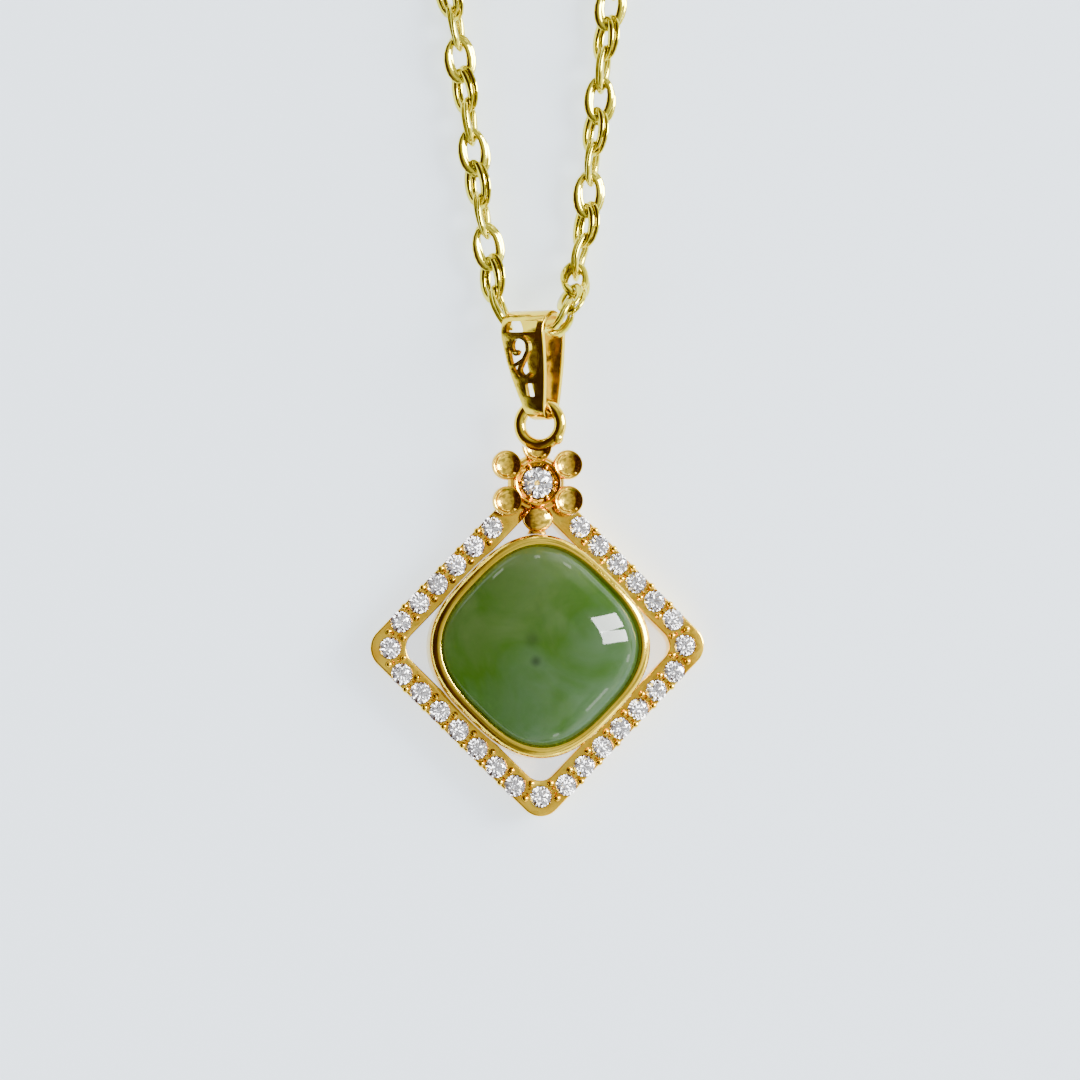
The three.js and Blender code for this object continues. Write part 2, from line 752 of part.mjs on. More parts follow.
function makeCoil() {
  const ring = turned(
    [
      [COIL_INNER, COIL_ROUND],
      [COIL_INNER + COIL_ROUND, 0],
      [COIL_OUTER - COIL_ROUND, 0],
      [COIL_OUTER, COIL_ROUND],
      [COIL_OUTER, COIL_HEIGHT - COIL_ROUND],
      [COIL_OUTER - COIL_ROUND, COIL_HEIGHT],
      [COIL_INNER + COIL_ROUND, COIL_HEIGHT],
      [COIL_INNER, COIL_HEIGHT - COIL_ROUND],
      [COIL_INNER, COIL_ROUND],
    ],
    40,
  );
  return place(ring, COIL_CENTRE_X, COIL_CENTRE_Y, 0);
}

// Clasp: a loop that narrows to an eye, lying flat on the coil

const claspEyeOuter = CLASP_EYE / 2 + CLASP_BAR * 0.75;
const claspBodyX = CLASP_LENGTH - CLASP_WIDTH / 2 - claspEyeOuter;

function claspOutline() {
  const outline = [];
  const bodyRadius = CLASP_WIDTH / 2;
  const tilt = Math.asin((bodyRadius - claspEyeOuter) / claspBodyX);
  for (let i = 0; i <= 10; i += 1) {
    const a = Math.PI / 2 + tilt + ((Math.PI - 2 * tilt) * i) / 10;
    outline.push([claspEyeOuter * Math.cos(a), claspEyeOuter * Math.sin(a)]);
  }
  for (let i = 0; i <= 12; i += 1) {
    const a = -Math.PI / 2 - tilt + ((Math.PI + 2 * tilt) * i) / 12;
    outline.push([claspBodyX + bodyRadius * Math.cos(a), bodyRadius * Math.sin(a)]);
  }
  return outline;
}

function makeClasp() {
  const z = COIL_HEIGHT + CLASP_REST_GAP;
  const half = CLASP_WIDTH / 2 - CLASP_BAR;
  const windowStart = CLASP_EYE / 2 + CLASP_BAR * 1.3;
  const window = [
    [windowStart, -half * 0.4],
    [claspBodyX, -half],
  ];
  window.push(...arcPoints(claspBodyX, 0, half, -Math.PI / 2 + 0.2, Math.PI / 2 - 0.2, 8));
  window.push([claspBodyX, half]);
  window.push([windowStart, half * 0.4]);
  const eye = arcPoints(0, 0, CLASP_EYE / 2, 0, 2 * Math.PI * (11 / 12), 11).reverse();
  const body = upright(claspOutline(), 0, CLASP_THICKNESS, [window.reverse(), eye]);
  body.rotateZ(claspTurn);
  return place(body, claspEyeX, claspEyeY, z);
}

const claspTurn = THREE.MathUtils.degToRad(12);
const claspEyeX = COIL_CENTRE_X - 1.8;
const claspEyeY = COIL_CENTRE_Y + 5.4;

function makeEndRing() {
  const mean = (END_RING_HOLE + END_RING_WIRE) / 2;
  const ring = new THREE.TorusGeometry(mean, END_RING_WIRE / 2, 8, 20);
  const z = COIL_HEIGHT + CLASP_REST_GAP + END_RING_WIRE / 2;
  return place(ring, claspEyeX - 3.4, claspEyeY - 1.6, z);
}

// The whole pendant

const pendant = new THREE.Group();
pendant.name = "jade_pendant";

function addPiece(name, geometry, material) {
  const mesh = new THREE.Mesh(geometry, material);
  mesh.name = name;
  pendant.add(mesh);
  return mesh;
}

addPiece("jade_cabochon", makeJade(), jade);
addPiece("bezel_cup", makeBezel(), goldGilt);
addPiece("halo_frame", makeHaloFrame(), goldGilt);
stones.forEach(([x, y], index) => {
  const number = String(index + 1).padStart(2, "0");
  addPiece(`halo_zircon_${number}`, place(brilliant(HALO_ZIRCON), x, y, stoneGirdle), zircon);
});
addPiece("flower", makeFlower(), goldGilt);
addPiece("flower_zircon", place(brilliant(CENTRE_ZIRCON), 0, flowerY, centreGirdle), zircon);
addPiece("jump_ring", makeRing(), goldGilt);
addPiece("bail", makeBail().applyMatrix4(bailMatrix), goldGilt);
addPiece("chain", makeChainTube(), paleGold);
addPiece("chain_coil", makeCoil(), paleGold);
addPiece("clasp", makeClasp(), paleGold);
addPiece("clasp_ring", makeEndRing(), paleGold);

export default pendant;
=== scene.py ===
import bisect
import math
import random

import bmesh
import bpy
from mathutils import Matrix, Vector


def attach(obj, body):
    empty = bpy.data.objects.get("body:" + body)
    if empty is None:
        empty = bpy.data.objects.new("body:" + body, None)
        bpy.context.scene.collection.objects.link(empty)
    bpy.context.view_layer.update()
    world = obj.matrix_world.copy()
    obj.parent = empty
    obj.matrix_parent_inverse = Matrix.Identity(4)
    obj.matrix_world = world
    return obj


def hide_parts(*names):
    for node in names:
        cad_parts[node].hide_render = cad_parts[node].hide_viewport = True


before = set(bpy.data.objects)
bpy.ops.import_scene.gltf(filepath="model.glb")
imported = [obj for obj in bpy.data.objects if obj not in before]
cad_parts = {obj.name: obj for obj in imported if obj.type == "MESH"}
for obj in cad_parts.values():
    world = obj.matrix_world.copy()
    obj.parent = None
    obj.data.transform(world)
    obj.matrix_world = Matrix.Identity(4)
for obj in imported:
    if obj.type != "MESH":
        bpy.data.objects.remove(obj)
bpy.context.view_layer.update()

# All sizes below are millimetres, as in the solids' source, and MM turns them into metres
MM = 0.001
random.seed(11)

# Sizes repeated from the solids
JADE_WIDTH = 10.0
JADE_SQUARENESS = 2.8
JADE_GIRDLE = 0.7
JADE_DOME = 2.9
JADE_DOME_FULLNESS = 2.3
BACK_PLATE = 0.5
BEZEL_WALL = 0.22
BEZEL_TAPER = 0.19
BEZEL_TAPER_HEIGHT = 1.2
LIP_OVER_STONE = 0.35
LIP_THICKNESS = 0.3
STONE_CLEARANCE = 0.02
HALO_GAP = 0.03
HALO_OVER_BEZEL = 0.12
HALO_BAND = 1.39
HALO_OUTER_TAPER = 0.2
HALO_INNER_TAPER = 0.12
HALO_HEIGHT = 1.7
HALO_OUTER_CORNER = 1.15
HALO_INNER_CORNER = 0.9
HALO_ROW_IN = 0.52
HALO_CORNER_STONE_IN = 0.54
HALO_STONES_TO_CORNER = 4
HALO_ZIRCON = 1.1
HALO_SEAT_DEPTH = 0.12
FLOWER_IN_FROM_CORNER = 0.32
FLOWER_BASE_GAP = 0.03
PETAL_COUNT = 6
PETAL_WIDTH = 1.56
PETAL_RADIUS = 1.86
PETAL_THICKNESS = 0.75
PETAL_DISH = 0.28
PETAL_RIM = 0.12
CUP_WIDTH = 2.5
CUP_HEIGHT = 0.72
CENTRE_ZIRCON = 1.6
RING_HOLE = 1.48
RING_WIRE = 0.65
RING_X = 0.25
RING_OVER_FLOWER_BASE = 0.19
RING_TURN = 23
RING_IN_PETAL = 0.2
BAIL_LENGTH = 5.7
BAIL_DEPTH = 2.4
BAIL_STRIP = 0.3
BAIL_TOP_WIDTH = 2.55
BAIL_TIP_WIDTH = 0.8
BAIL_BACK_WIDTH = 2.46
BAIL_RING_GAP = 0.22
BAIL_SLIDE = 0.02
BAIL_TURN = 43
BAIL_LEAN = 4
BAIL_PITCH = 8
BAIL_SKEW_TOP = -0.15
BAIL_SKEW_TIP = 0.15
SLOT_FROM_TOP = 0.48
SLOT_HIGH = 0.55
SLOT_BORDER = 0.38
OVAL_FROM_SLOT = 0.17
OVAL_HIGH = 2.24
OVAL_BORDER = 0.3
LOW_FROM_OVAL = 0.28
LOW_HIGH = 0.68
LOW_WIDTH = 0.56
SCROLL_STRIP = 0.2
UPPER_CURL = 0.5
LOWER_CURL = 0.32
CHAIN_WIDTH = 1.3
CHAIN_FLOOR_GAP = 0.05
COIL_CENTRE_X = 0.3
COIL_CENTRE_Y = 45.6
COIL_OUTER = 9.4

# how far from the flower's middle its web reaches between the petals
WEB_REACH = 1.5
EIGHTH = math.pi / 4

jade_half = JADE_WIDTH / 2
girdle_top = BACK_PLATE + STONE_CLEARANCE + JADE_GIRDLE
cavity_half = jade_half + STONE_CLEARANCE
bezel_half = cavity_half + BEZEL_WALL
lip_half = jade_half - LIP_OVER_STONE
halo_inner = bezel_half + HALO_GAP - HALO_OVER_BEZEL
halo_outer = halo_inner + HALO_BAND
halo_line = halo_outer - HALO_ROW_IN
halo_pitch = (halo_line - HALO_CORNER_STONE_IN) / HALO_STONES_TO_CORNER
flower_y = halo_outer * math.sqrt(2) - HALO_OUTER_CORNER * (math.sqrt(2) - 1) - FLOWER_IN_FROM_CORNER
flower_base = HALO_HEIGHT + FLOWER_BASE_GAP
ring_mean = (RING_HOLE + RING_WIRE) / 2
ring_outer = RING_HOLE / 2 + RING_WIRE
ring_y = flower_y + PETAL_RADIUS + ring_outer - RING_IN_PETAL
ring_z = flower_base + RING_OVER_FLOWER_BASE

# Camera: a long lens that looks down, a little from the left and from below

VIEW_YAW = math.radians(10.6)
VIEW_PITCH = math.radians(3.5)
VIEW_ROLL = math.radians(1.0)
VIEW_DISTANCE = 330.0
VIEW_PX_PER_MM = 19.4
AIM = Vector((0.0, 0.0, 2.5))
AIM_PX = (541.2, 646.0)
IMAGE = 1080


def make_camera():
    back = Vector(
        (
            -math.sin(VIEW_YAW) * math.cos(VIEW_PITCH),
            -math.sin(VIEW_PITCH),
            math.cos(VIEW_YAW) * math.cos(VIEW_PITCH),
        )
    )
    right = Vector((0, 1, 0)).cross(back).normalized()
    up = back.cross(right)
    c, s = math.cos(-VIEW_ROLL), math.sin(-VIEW_ROLL)
    right, up = right * c + up * s, up * c - right * s
    off_x = (AIM_PX[0] - IMAGE / 2) / VIEW_PX_PER_MM
    off_y = (AIM_PX[1] - IMAGE / 2) / VIEW_PX_PER_MM
    eye = AIM - right * off_x + up * off_y + back * VIEW_DISTANCE
    camera = bpy.data.cameras.new("camera")
    camera.sensor_fit = "HORIZONTAL"
    camera.sensor_width = 36
    camera.lens = VIEW_PX_PER_MM * VIEW_DISTANCE / IMAGE * 36
    camera.clip_start = 0.01
    holder = bpy.data.objects.new("camera", camera)
    bpy.context.collection.objects.link(holder)
    turn = Matrix((right, up, back)).transposed().to_4x4()
    holder.matrix_world = Matrix.Translation(eye * MM) @ turn
    bpy.context.scene.camera = holder
    return holder


make_camera()

# Mesh building


class Soup:
    """Points in millimetres and faces, gathered from several shapes."""

    def __init__(self):
        self.points = []
        self.faces = []

    def add(self, points, faces):
        start = len(self.points)
        self.points.extend(tuple(p) for p in points)
        self.faces.extend([start + i for i in face] for face in faces)
        return self

    def moved(self, matrix):
        self.points = [tuple(matrix @ Vector(p)) for p in self.points]
        return self


def plain_object(name, soup, smooth_angle=35):
    mesh = bpy.data.meshes.new(name)
    mesh.from_pydata([(x * MM, y * MM, z * MM) for x, y, z in soup.points], [], soup.faces)
    bm = bmesh.new()
    bm.from_mesh(mesh)
    bmesh.ops.remove_doubles(bm, verts=bm.verts, dist=1e-7)
    bmesh.ops.recalc_face_normals(bm, faces=bm.faces)
    bm.to_mesh(mesh)
    bm.free()
    if smooth_angle:
        mesh.polygons.foreach_set("use_smooth", [True] * len(mesh.polygons))
        mesh.set_sharp_from_angle(angle=math.radians(smooth_angle))
    thing = bpy.data.objects.new(name, mesh)
    bpy.context.collection.objects.link(thing)
    return thing


def piece(name, soup, material, replaced=(), smooth_angle=35):
    thing = plain_object(name, soup, smooth_angle)
    thing.data.materials.append(material)
    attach(thing, "root")
    if replaced:
        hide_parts(*replaced)
    return thing


def around(steps):
    return [2 * math.pi * i / steps for i in range(steps)]


def blunt(value, power):
    """A sine or cosine that makes a rounder or boxier outline, the boxier the lower the power."""
    return math.copysign(abs(value) ** power, value)


def ring_stack(rings, closed=False, cap_low=True, cap_high=True):
    """Rings of as many points each, joined by quads; closed joins the last ring to the first."""
    steps = len(rings[0])
    points = [p for ring in rings for p in ring]
    faces = []
    count = len(rings)
    for level in range(count if closed else count - 1):
        a = level * steps
        b = ((level + 1) % count) * steps
        for i in range(steps):
            j = (i + 1) % steps
            faces.append([a + i, a + j, b + j, b + i])
    if not closed:
        if cap_low:
            faces.append(list(range(steps))[::-1])
        if cap_high:
            faces.append([(count - 1) * steps + i for i in range(steps)])
    return points, faces


def prism(outline, low, high):
    return ring_stack([[(x, y, low) for x, y in outline], [(x, y, high) for x, y in outline]])


def turned(profile, steps, centre=(0, 0, 0)):
    """A solid turned about Z from (radius, height) points that start and end on the axis."""
    cx, cy, cz = centre
    points = [(cx, cy, cz + profile[0][1])]
    faces = []
    inner = profile[1:-1]
    for r, z in inner:
        points += [(cx + r * math.cos(a), cy + r * math.sin(a), cz + z) for a in around(steps)]
    points.append((cx, cy, cz + profile[-1][1]))
    last = len(points) - 1
    for i in range(steps):
        j = (i + 1) % steps
        faces.append([0, 1 + j, 1 + i])
        for level in range(len(inner) - 1):
            a = 1 + level * steps
            faces.append([a + i, a + j, a + steps + j, a + steps + i])
        a = 1 + (len(inner) - 1) * steps
        faces.append([a + i, a + j, last])
    return points, faces


def smooth_line(points, per_span, closed=False):
    """A Catmull-Rom line through points of any size."""
    count = len(points)
    out = []
    spans = count if closed else count - 1
    for k in range(spans):
        if closed:
            quad = [points[(k + d) % count] for d in (-1, 0, 1, 2)]
        else:
            quad = [points[max(0, min(count - 1, k + d))] for d in (-1, 0, 1, 2)]
        for i in range(per_span):
            t = i / per_span
            out.append(
                tuple(
                    0.5
                    * (
                        2 * b
                        + (c - a) * t
                        + (2 * a - 5 * b + 4 * c - d) * t * t
                        + (3 * b - a - 3 * c + d) * t**3
                    )
                    for a, b, c, d in zip(*quad)
                )
            )
    if not closed:
        out.append(tuple(points[-1]))
    return out


def ball(centre, radius, steps=16, squash=1.0):
    rows = max(4, steps // 2)
    profile = []
    for i in range(rows + 1):
        a = -math.pi / 2 + math.pi * i / rows
        profile.append((radius * math.cos(a), radius * math.sin(a) * squash))
    profile[0] = (0, profile[0][1])
    profile[-1] = (0, profile[-1][1])
    return turned(profile, steps, centre)


def swept(path, radius, sides=10, closed=False, radii=None):
    """A round wire along a line of points."""
    line = [Vector(p) for p in path]
    count = len(line)
    rings = []
    side = None
    for k in range(count):
        if closed:
            ahead = line[(k + 1) % count] - line[k - 1]
        else:
            ahead = line[min(count - 1, k + 1)] - line[max(0, k - 1)]
        ahead.normalize()
        if side is None:
            side = ahead.orthogonal().normalized()
        side = (side - ahead * side.dot(ahead)).normalized()
        other = ahead.cross(side)
        r = radii[k] if radii else radius
        ring = []
        for a in around(sides):
            ring.append(tuple(line[k] + side * (r * math.cos(a)) + other * (r * math.sin(a))))
        rings.append(ring)
    return ring_stack(rings, closed=closed)


def cut_away(thing, soup):
    """Take a soup's solids away from an object's mesh."""
    cut_with(thing, plain_object("cutter", soup, smooth_angle=0))


def cut_with(thing, cutter):
    cut = thing.modifiers.new("cut", "BOOLEAN")
    cut.operation = "DIFFERENCE"
    cut.solver = "EXACT"
    cut.use_self = True
    cut.object = cutter
    bpy.context.view_layer.update()
    done = bpy.data.meshes.new_from_object(thing.evaluated_get(bpy.context.evaluated_depsgraph_get()))
    thing.modifiers.clear()
    thing.data = done
    bpy.data.objects.remove(cutter)


def add_on(thing, soup):
    """Add a soup's solids to an object's mesh as they are."""
    extra = plain_object("extra", soup, smooth_angle=0)
    bm = bmesh.new()
    bm.from_mesh(thing.data)
    bm.from_mesh(extra.data)
    bm.to_mesh(thing.data)
    bm.free()
    bpy.data.objects.remove(extra)


def gilt_piece(thing, material, node_name, smooth_angle):
    mesh = thing.data
    mesh.polygons.foreach_set("use_smooth", [True] * len(mesh.polygons))
    mesh.set_sharp_from_angle(angle=math.radians(smooth_angle))
    mesh.materials.clear()
    mesh.materials.append(material)
    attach(thing, "root")
    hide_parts(node_name)
    return thing


# Materials


def node_material(name):
    material = bpy.data.materials.new(name)
    material.use_nodes = True
    return material, material.node_tree.nodes, material.node_tree.links


def set_socket(shader, **values):
    for name, value in values.items():
        shader.inputs[name.replace("_", " ")].default_value = value


def polished_metal(name, colour, deep, low, high, grain, bump, blotch, hollow=None):
    """Polished metal with faint blotches of a deeper tone, wear in its gloss and a fine uneven surface.

    hollow is the middle, the reach and the colour of a painted deeper orange round a hollow: painted
    reflection of light bounced about inside the hollow, not a colour of the metal.
    """
    material, nodes, links = node_material(name)
    shader = nodes["Principled BSDF"]
    set_socket(shader, Metallic=1.0)
    place = nodes.new("ShaderNodeTexCoord")
    wide = nodes.new("ShaderNodeTexNoise")
    wide.inputs["Scale"].default_value = blotch
    wide.inputs["Detail"].default_value = 3
    links.new(place.outputs["Object"], wide.inputs["Vector"])
    tones = nodes.new("ShaderNodeValToRGB")
    tones.color_ramp.elements[0].position = 0.35
    tones.color_ramp.elements[0].color = (*deep, 1)
    tones.color_ramp.elements[1].position = 0.65
    tones.color_ramp.elements[1].color = (*colour, 1)
    links.new(wide.outputs["Fac"], tones.inputs["Fac"])
    links.new(tones.outputs["Color"], shader.inputs["Base Color"])
    # painted reflection: near the middle the colour turns to a deeper orange, standing in for light bounced
    # about inside the hollow
    if hollow:
        middle, reach, own = hollow
        away = nodes.new("ShaderNodeVectorMath")
        away.operation = "DISTANCE"
        away.inputs[1].default_value = [c * MM for c in middle]
        links.new(place.outputs["Object"], away.inputs[0])
        painted_reflection_fade = nodes.new("ShaderNodeMapRange")
        painted_reflection_fade.inputs["From Min"].default_value = reach * 0.8 * MM
        painted_reflection_fade.inputs["From Max"].default_value = reach * MM
        links.new(away.outputs["Value"], painted_reflection_fade.inputs["Value"])
        blend = nodes.new("ShaderNodeMix")
        blend.data_type = "RGBA"
        blend.inputs["A"].default_value = (*own, 1)
        links.new(painted_reflection_fade.outputs["Result"], blend.inputs["Factor"])
        links.new(tones.outputs["Color"], blend.inputs["B"])
        links.new(blend.outputs["Result"], shader.inputs["Base Color"])
    fine = nodes.new("ShaderNodeTexNoise")
    fine.inputs["Scale"].default_value = grain
    fine.inputs["Detail"].default_value = 4
    links.new(place.outputs["Object"], fine.inputs["Vector"])
    gloss = nodes.new("ShaderNodeMapRange")
    gloss.inputs["From Min"].default_value = 0.3
    gloss.inputs["From Max"].default_value = 0.7
    gloss.inputs["To Min"].default_value = low
    gloss.inputs["To Max"].default_value = high
    links.new(fine.outputs["Fac"], gloss.inputs["Value"])
    links.new(gloss.outputs["Result"], shader.inputs["Roughness"])
    relief = nodes.new("ShaderNodeBump")
    relief.inputs["Strength"].default_value = bump
    relief.inputs["Distance"].default_value = 0.00002
    links.new(fine.outputs["Fac"], relief.inputs["Height"])
    links.new(relief.outputs["Normal"], shader.inputs["Normal"])
    return material


# dark smudges in the stone: x, y, reach and how dark, 0 being black
JADE_SMUDGES = ((-0.75, 0.25, 0.6, 0.65), (-0.58, -0.85, 0.42, 0.35))


def jade_material():
    """Translucent green stone: cloudy tones with painted light and shade, darkest in a band from lower left
    to upper right and lighter towards the upper left and lower right, and two dark smudges under a glassy
    polish.
    """
    material, nodes, links = node_material("jade")
    shader = nodes["Principled BSDF"]
    set_socket(
        shader,
        Roughness=0.04,
        IOR=1.32,
        Subsurface_Weight=0.25,
        Subsurface_Scale=0.0012,
        Subsurface_Radius=(0.6, 1.0, 0.55),
        Transmission_Weight=0.0,
    )
    place = nodes.new("ShaderNodeTexCoord")
    split = nodes.new("ShaderNodeSeparateXYZ")
    links.new(place.outputs["Object"], split.inputs["Vector"])
    # painted light and shade: the colour runs with x and y, so the stone is lighter towards the upper left
    # and lower right and darkest across the middle
    across = nodes.new("ShaderNodeMath")
    across.operation = "MULTIPLY_ADD"
    across.inputs[1].default_value = -60
    across.inputs[2].default_value = 0.5
    links.new(split.outputs["X"], across.inputs[0])
    along = nodes.new("ShaderNodeMath")
    along.operation = "MULTIPLY_ADD"
    along.inputs[1].default_value = 75
    links.new(split.outputs["Y"], along.inputs[0])
    links.new(across.outputs[0], along.inputs[2])
    cloud = nodes.new("ShaderNodeTexNoise")
    cloud.inputs["Scale"].default_value = 260
    cloud.inputs["Detail"].default_value = 5
    cloud.inputs["Distortion"].default_value = 0.8
    links.new(place.outputs["Object"], cloud.inputs["Vector"])
    # random cloud plus the painted light-and-shade gradient
    cloud_and_painted_light = nodes.new("ShaderNodeMath")
    cloud_and_painted_light.operation = "MULTIPLY_ADD"
    cloud_and_painted_light.inputs[1].default_value = 1.3
    links.new(cloud.outputs["Fac"], cloud_and_painted_light.inputs[0])
    links.new(along.outputs[0], cloud_and_painted_light.inputs[2])
    shift = nodes.new("ShaderNodeMath")
    shift.operation = "SUBTRACT"
    shift.inputs[1].default_value = 0.65
    links.new(cloud_and_painted_light.outputs[0], shift.inputs[0])
    tones = nodes.new("ShaderNodeValToRGB")
    ramp = tones.color_ramp
    ramp.elements[0].position = 0.0
    ramp.elements[0].color = (0.078, 0.15, 0.065, 1)
    ramp.elements[1].position = 1.0
    ramp.elements[1].color = (0.098, 0.16, 0.046, 1)
    middle = ramp.elements.new(0.5)
    middle.color = (0.045, 0.115, 0.009, 1)
    links.new(shift.outputs[0], tones.inputs["Fac"])
    specks = None
    for x, y, reach, shade in JADE_SMUDGES:
        away = nodes.new("ShaderNodeVectorMath")
        away.operation = "DISTANCE"
        away.inputs[1].default_value = (x * MM, y * MM, 4 * MM)
        links.new(place.outputs["Object"], away.inputs[0])
        fade = nodes.new("ShaderNodeMapRange")
        fade.interpolation_type = "SMOOTHSTEP"
        fade.inputs["From Max"].default_value = reach * MM
        fade.inputs["To Min"].default_value = shade
        links.new(away.outputs["Value"], fade.inputs["Value"])
        if specks is None:
            specks = fade.outputs["Result"]
        else:
            both = nodes.new("ShaderNodeMath")
            both.operation = "MULTIPLY"
            links.new(specks, both.inputs[0])
            links.new(fade.outputs["Result"], both.inputs[1])
            specks = both.outputs["Value"]
    blend = nodes.new("ShaderNodeMix")
    blend.data_type = "RGBA"
    blend.blend_type = "MULTIPLY"
    blend.inputs["Factor"].default_value = 1.0
    links.new(tones.outputs["Color"], blend.inputs["A"])
    links.new(specks, blend.inputs["B"])
    links.new(blend.outputs["Result"], shader.inputs["Base Color"])
    ripple = nodes.new("ShaderNodeBump")
    ripple.inputs["Strength"].default_value = 0.06
    ripple.inputs["Distance"].default_value = 0.00005
    links.new(cloud.outputs["Fac"], ripple.inputs["Height"])
    links.new(ripple.outputs["Normal"], shader.inputs["Normal"])
    return material


def zircon_material():
    """Clear, strongly refracting stone with faint internal haze."""
    material, nodes, links = node_material("zircon")
    shader = nodes["Principled BSDF"]
    set_socket(shader, Roughness=0.0, IOR=2.15, Transmission_Weight=1.0)
    place = nodes.new("ShaderNodeTexCoord")
    haze = nodes.new("ShaderNodeTexNoise")
    haze.inputs["Scale"].default_value = 2500
    links.new(place.outputs["Object"], haze.inputs["Vector"])
    tones = nodes.new("ShaderNodeValToRGB")
    tones.color_ramp.elements[0].color = (0.98, 0.98, 0.99, 1)
    tones.color_ramp.elements[1].color = (1.0, 1.0, 1.0, 1)
    links.new(haze.outputs["Fac"], tones.inputs["Fac"])
    links.new(tones.outputs["Color"], shader.inputs["Base Color"])
    return material


def floor_material():
    material, nodes, links = node_material("paper")
    shader = nodes["Principled BSDF"]
    set_socket(shader, Roughness=0.7)
    shader.inputs["Specular IOR Level"].default_value = 0.15
    place = nodes.new("ShaderNodeTexCoord")
    grain = nodes.new("ShaderNodeTexNoise")
    grain.inputs["Scale"].default_value = 900
    links.new(place.outputs["Object"], grain.inputs["Vector"])
    tones = nodes.new("ShaderNodeValToRGB")
    tones.color_ramp.elements[0].color = (0.75, 0.85, 0.95, 1)
    tones.color_ramp.elements[1].color = (0.78, 0.88, 0.98, 1)
    links.new(grain.outputs["Fac"], tones.inputs["Fac"])
    links.new(tones.outputs["Color"], shader.inputs["Base Color"])
    links.new(tones.outputs["Color"], shader.inputs["Emission Color"])
    shader.inputs["Emission Strength"].default_value = 1.6
    return material


gilt = polished_metal("gilt_silver", (0.87, 0.64, 0.05), (0.78, 0.53, 0.03), 0.07, 0.16, 3500, 0.25, 500)
gilt_frame = polished_metal("gilt_frame", (0.93, 0.63, 0.05), (0.84, 0.47, 0.02), 0.08, 0.2, 3500, 0.4, 900)
gilt_bail = polished_metal("gilt_bail", (0.84, 0.63, 0.05), (0.76, 0.52, 0.03), 0.1, 0.22, 3000, 0.3, 500)
# the flower's hollow middle gets a painted deep-orange reflection of light bounced between petals, cup and
# stone
gilt_flower = polished_metal(
    "gilt_flower",
    (0.93, 0.63, 0.055),
    (0.78, 0.45, 0.03),
    0.08,
    0.2,
    3500,
    0.4,
    1200,
    hollow=((0, flower_y, flower_base + 0.3), WEB_REACH, (0.88, 0.44, 0.005)),
)
chain_gold = polished_metal("chain_gold", (0.84, 0.72, 0.06), (0.6, 0.5, 0.03), 0.05, 0.12, 4000, 0.25, 600)
jade = jade_material()
zircon = zircon_material()

# Bail axes: X across the strip, Y along the pendant, Z towards the front, about the ring's far wire

bail_tip_inner = RING_WIRE / 2 + BAIL_RING_GAP
bail_tip_outer = bail_tip_inner + BAIL_STRIP
bail_top_outer = BAIL_DEPTH / 2
bail_top_y = BAIL_LENGTH - bail_top_outer - bail_tip_outer
bail_matrix = (
    Matrix.Translation((RING_X + BAIL_SLIDE, ring_y + ring_mean, ring_z))
    @ Matrix.Rotation(math.radians(BAIL_LEAN), 4, "Z")
    @ Matrix.Rotation(math.radians(BAIL_PITCH), 4, "X")
    @ Matrix.Rotation(math.radians(-BAIL_TURN), 4, "Y")
)


def in_bail(x, y, z):
    return tuple(bail_matrix @ Vector((x, y, z)))


# Chain: two cords that start under the bail's top, run along the floor and are wound in one coil

chain_in_bail_y = bail_top_y + (bail_top_outer - BAIL_STRIP - CHAIN_WIDTH / 2) * 0.5
mouth = BAIL_TOP_WIDTH / 2
LEFT_STRAND = [
    (-3.86, 33.44),
    (-3.41, 30.15),
    (-2.96, 27.17),
    (-2.53, 23.3),
    (-2.03, 20.22),
    (-1.88, 18.6),
]
RIGHT_STRAND = [
    (2.62, 20.24),
    (3.07, 21.91),
    (3.41, 25.21),
    (3.92, 28.52),
    (4.31, 31.83),
    (4.72, 34.1),
]
CHAIN_HALF = 210.0
HALF_TWIST = 4.95
# where along Y a link of each strand lies flat
LEFT_FLAT_Y = 25.3
RIGHT_FLAT_Y = 28.5
# three pairs of links to half a twist; their wire is pressed flat, and the pair lies slightly askew
LINK_PITCH = HALF_TWIST / 3
LINK_HALF_LENGTH = 1.06
LINK_HALF_WIDTH = 0.6
LINK_WIRE_WIDTH = 0.4
LINK_WIRE_THICKNESS = 0.2
LINK_LIFT = 0.1
# how much of the chain's twist is in the links themselves
LINK_TWIST = 0.35
LINK_STEPS = 20
LINK_SIDES = 6
# how far each link of a pair is set off the pair's middle
TWIN_ALONG = 0.07
TWIN_ACROSS = 0.08
TWIN_LIFT = 0.11
TURN_STEP = 1.3
LAYER_STEP = 1.3
COIL_EDGE = 0.8
# where each half meets the coil, and its legs: 1 outwards or -1 inwards, turns and rise.
# The left half winds clockwise from the floor up, the right one the other way on top of it.
LEFT_COIL_ANGLE = 222
LEFT_COIL_LEGS = ((-1, -3.45, 0), (1, -1.9, LAYER_STEP), (0, -1.0, LAYER_STEP))
RIGHT_COIL_ANGLE = 318
RIGHT_COIL_LEGS = ((-1, 1.5, 0), (1, 1.0, LAYER_STEP), (-1, 3.0, 0))
link_half = LINK_HALF_WIDTH + LINK_WIRE_WIDTH / 2 + TWIN_ACROSS
low_z = link_half + CHAIN_FLOOR_GAP


def round_coil(radius, angle, z):
    return (COIL_CENTRE_X + radius * math.cos(angle), COIL_CENTRE_Y + radius * math.sin(angle), z)


def spiral(radius, way, angle, turns, height, shift):
    """Points about the coil's middle; way is -1 inwards, 1 outwards, 0 neither."""
    points = []
    steps = max(6, int(abs(turns) * 20))
    for i in range(1, steps + 1):
        t = i / steps
        reach = radius + way * TURN_STEP * abs(turns) * t
        points.append(round_coil(reach, angle + 2 * math.pi * turns * t, height + shift * min(1.0, t * 2)))
    return points


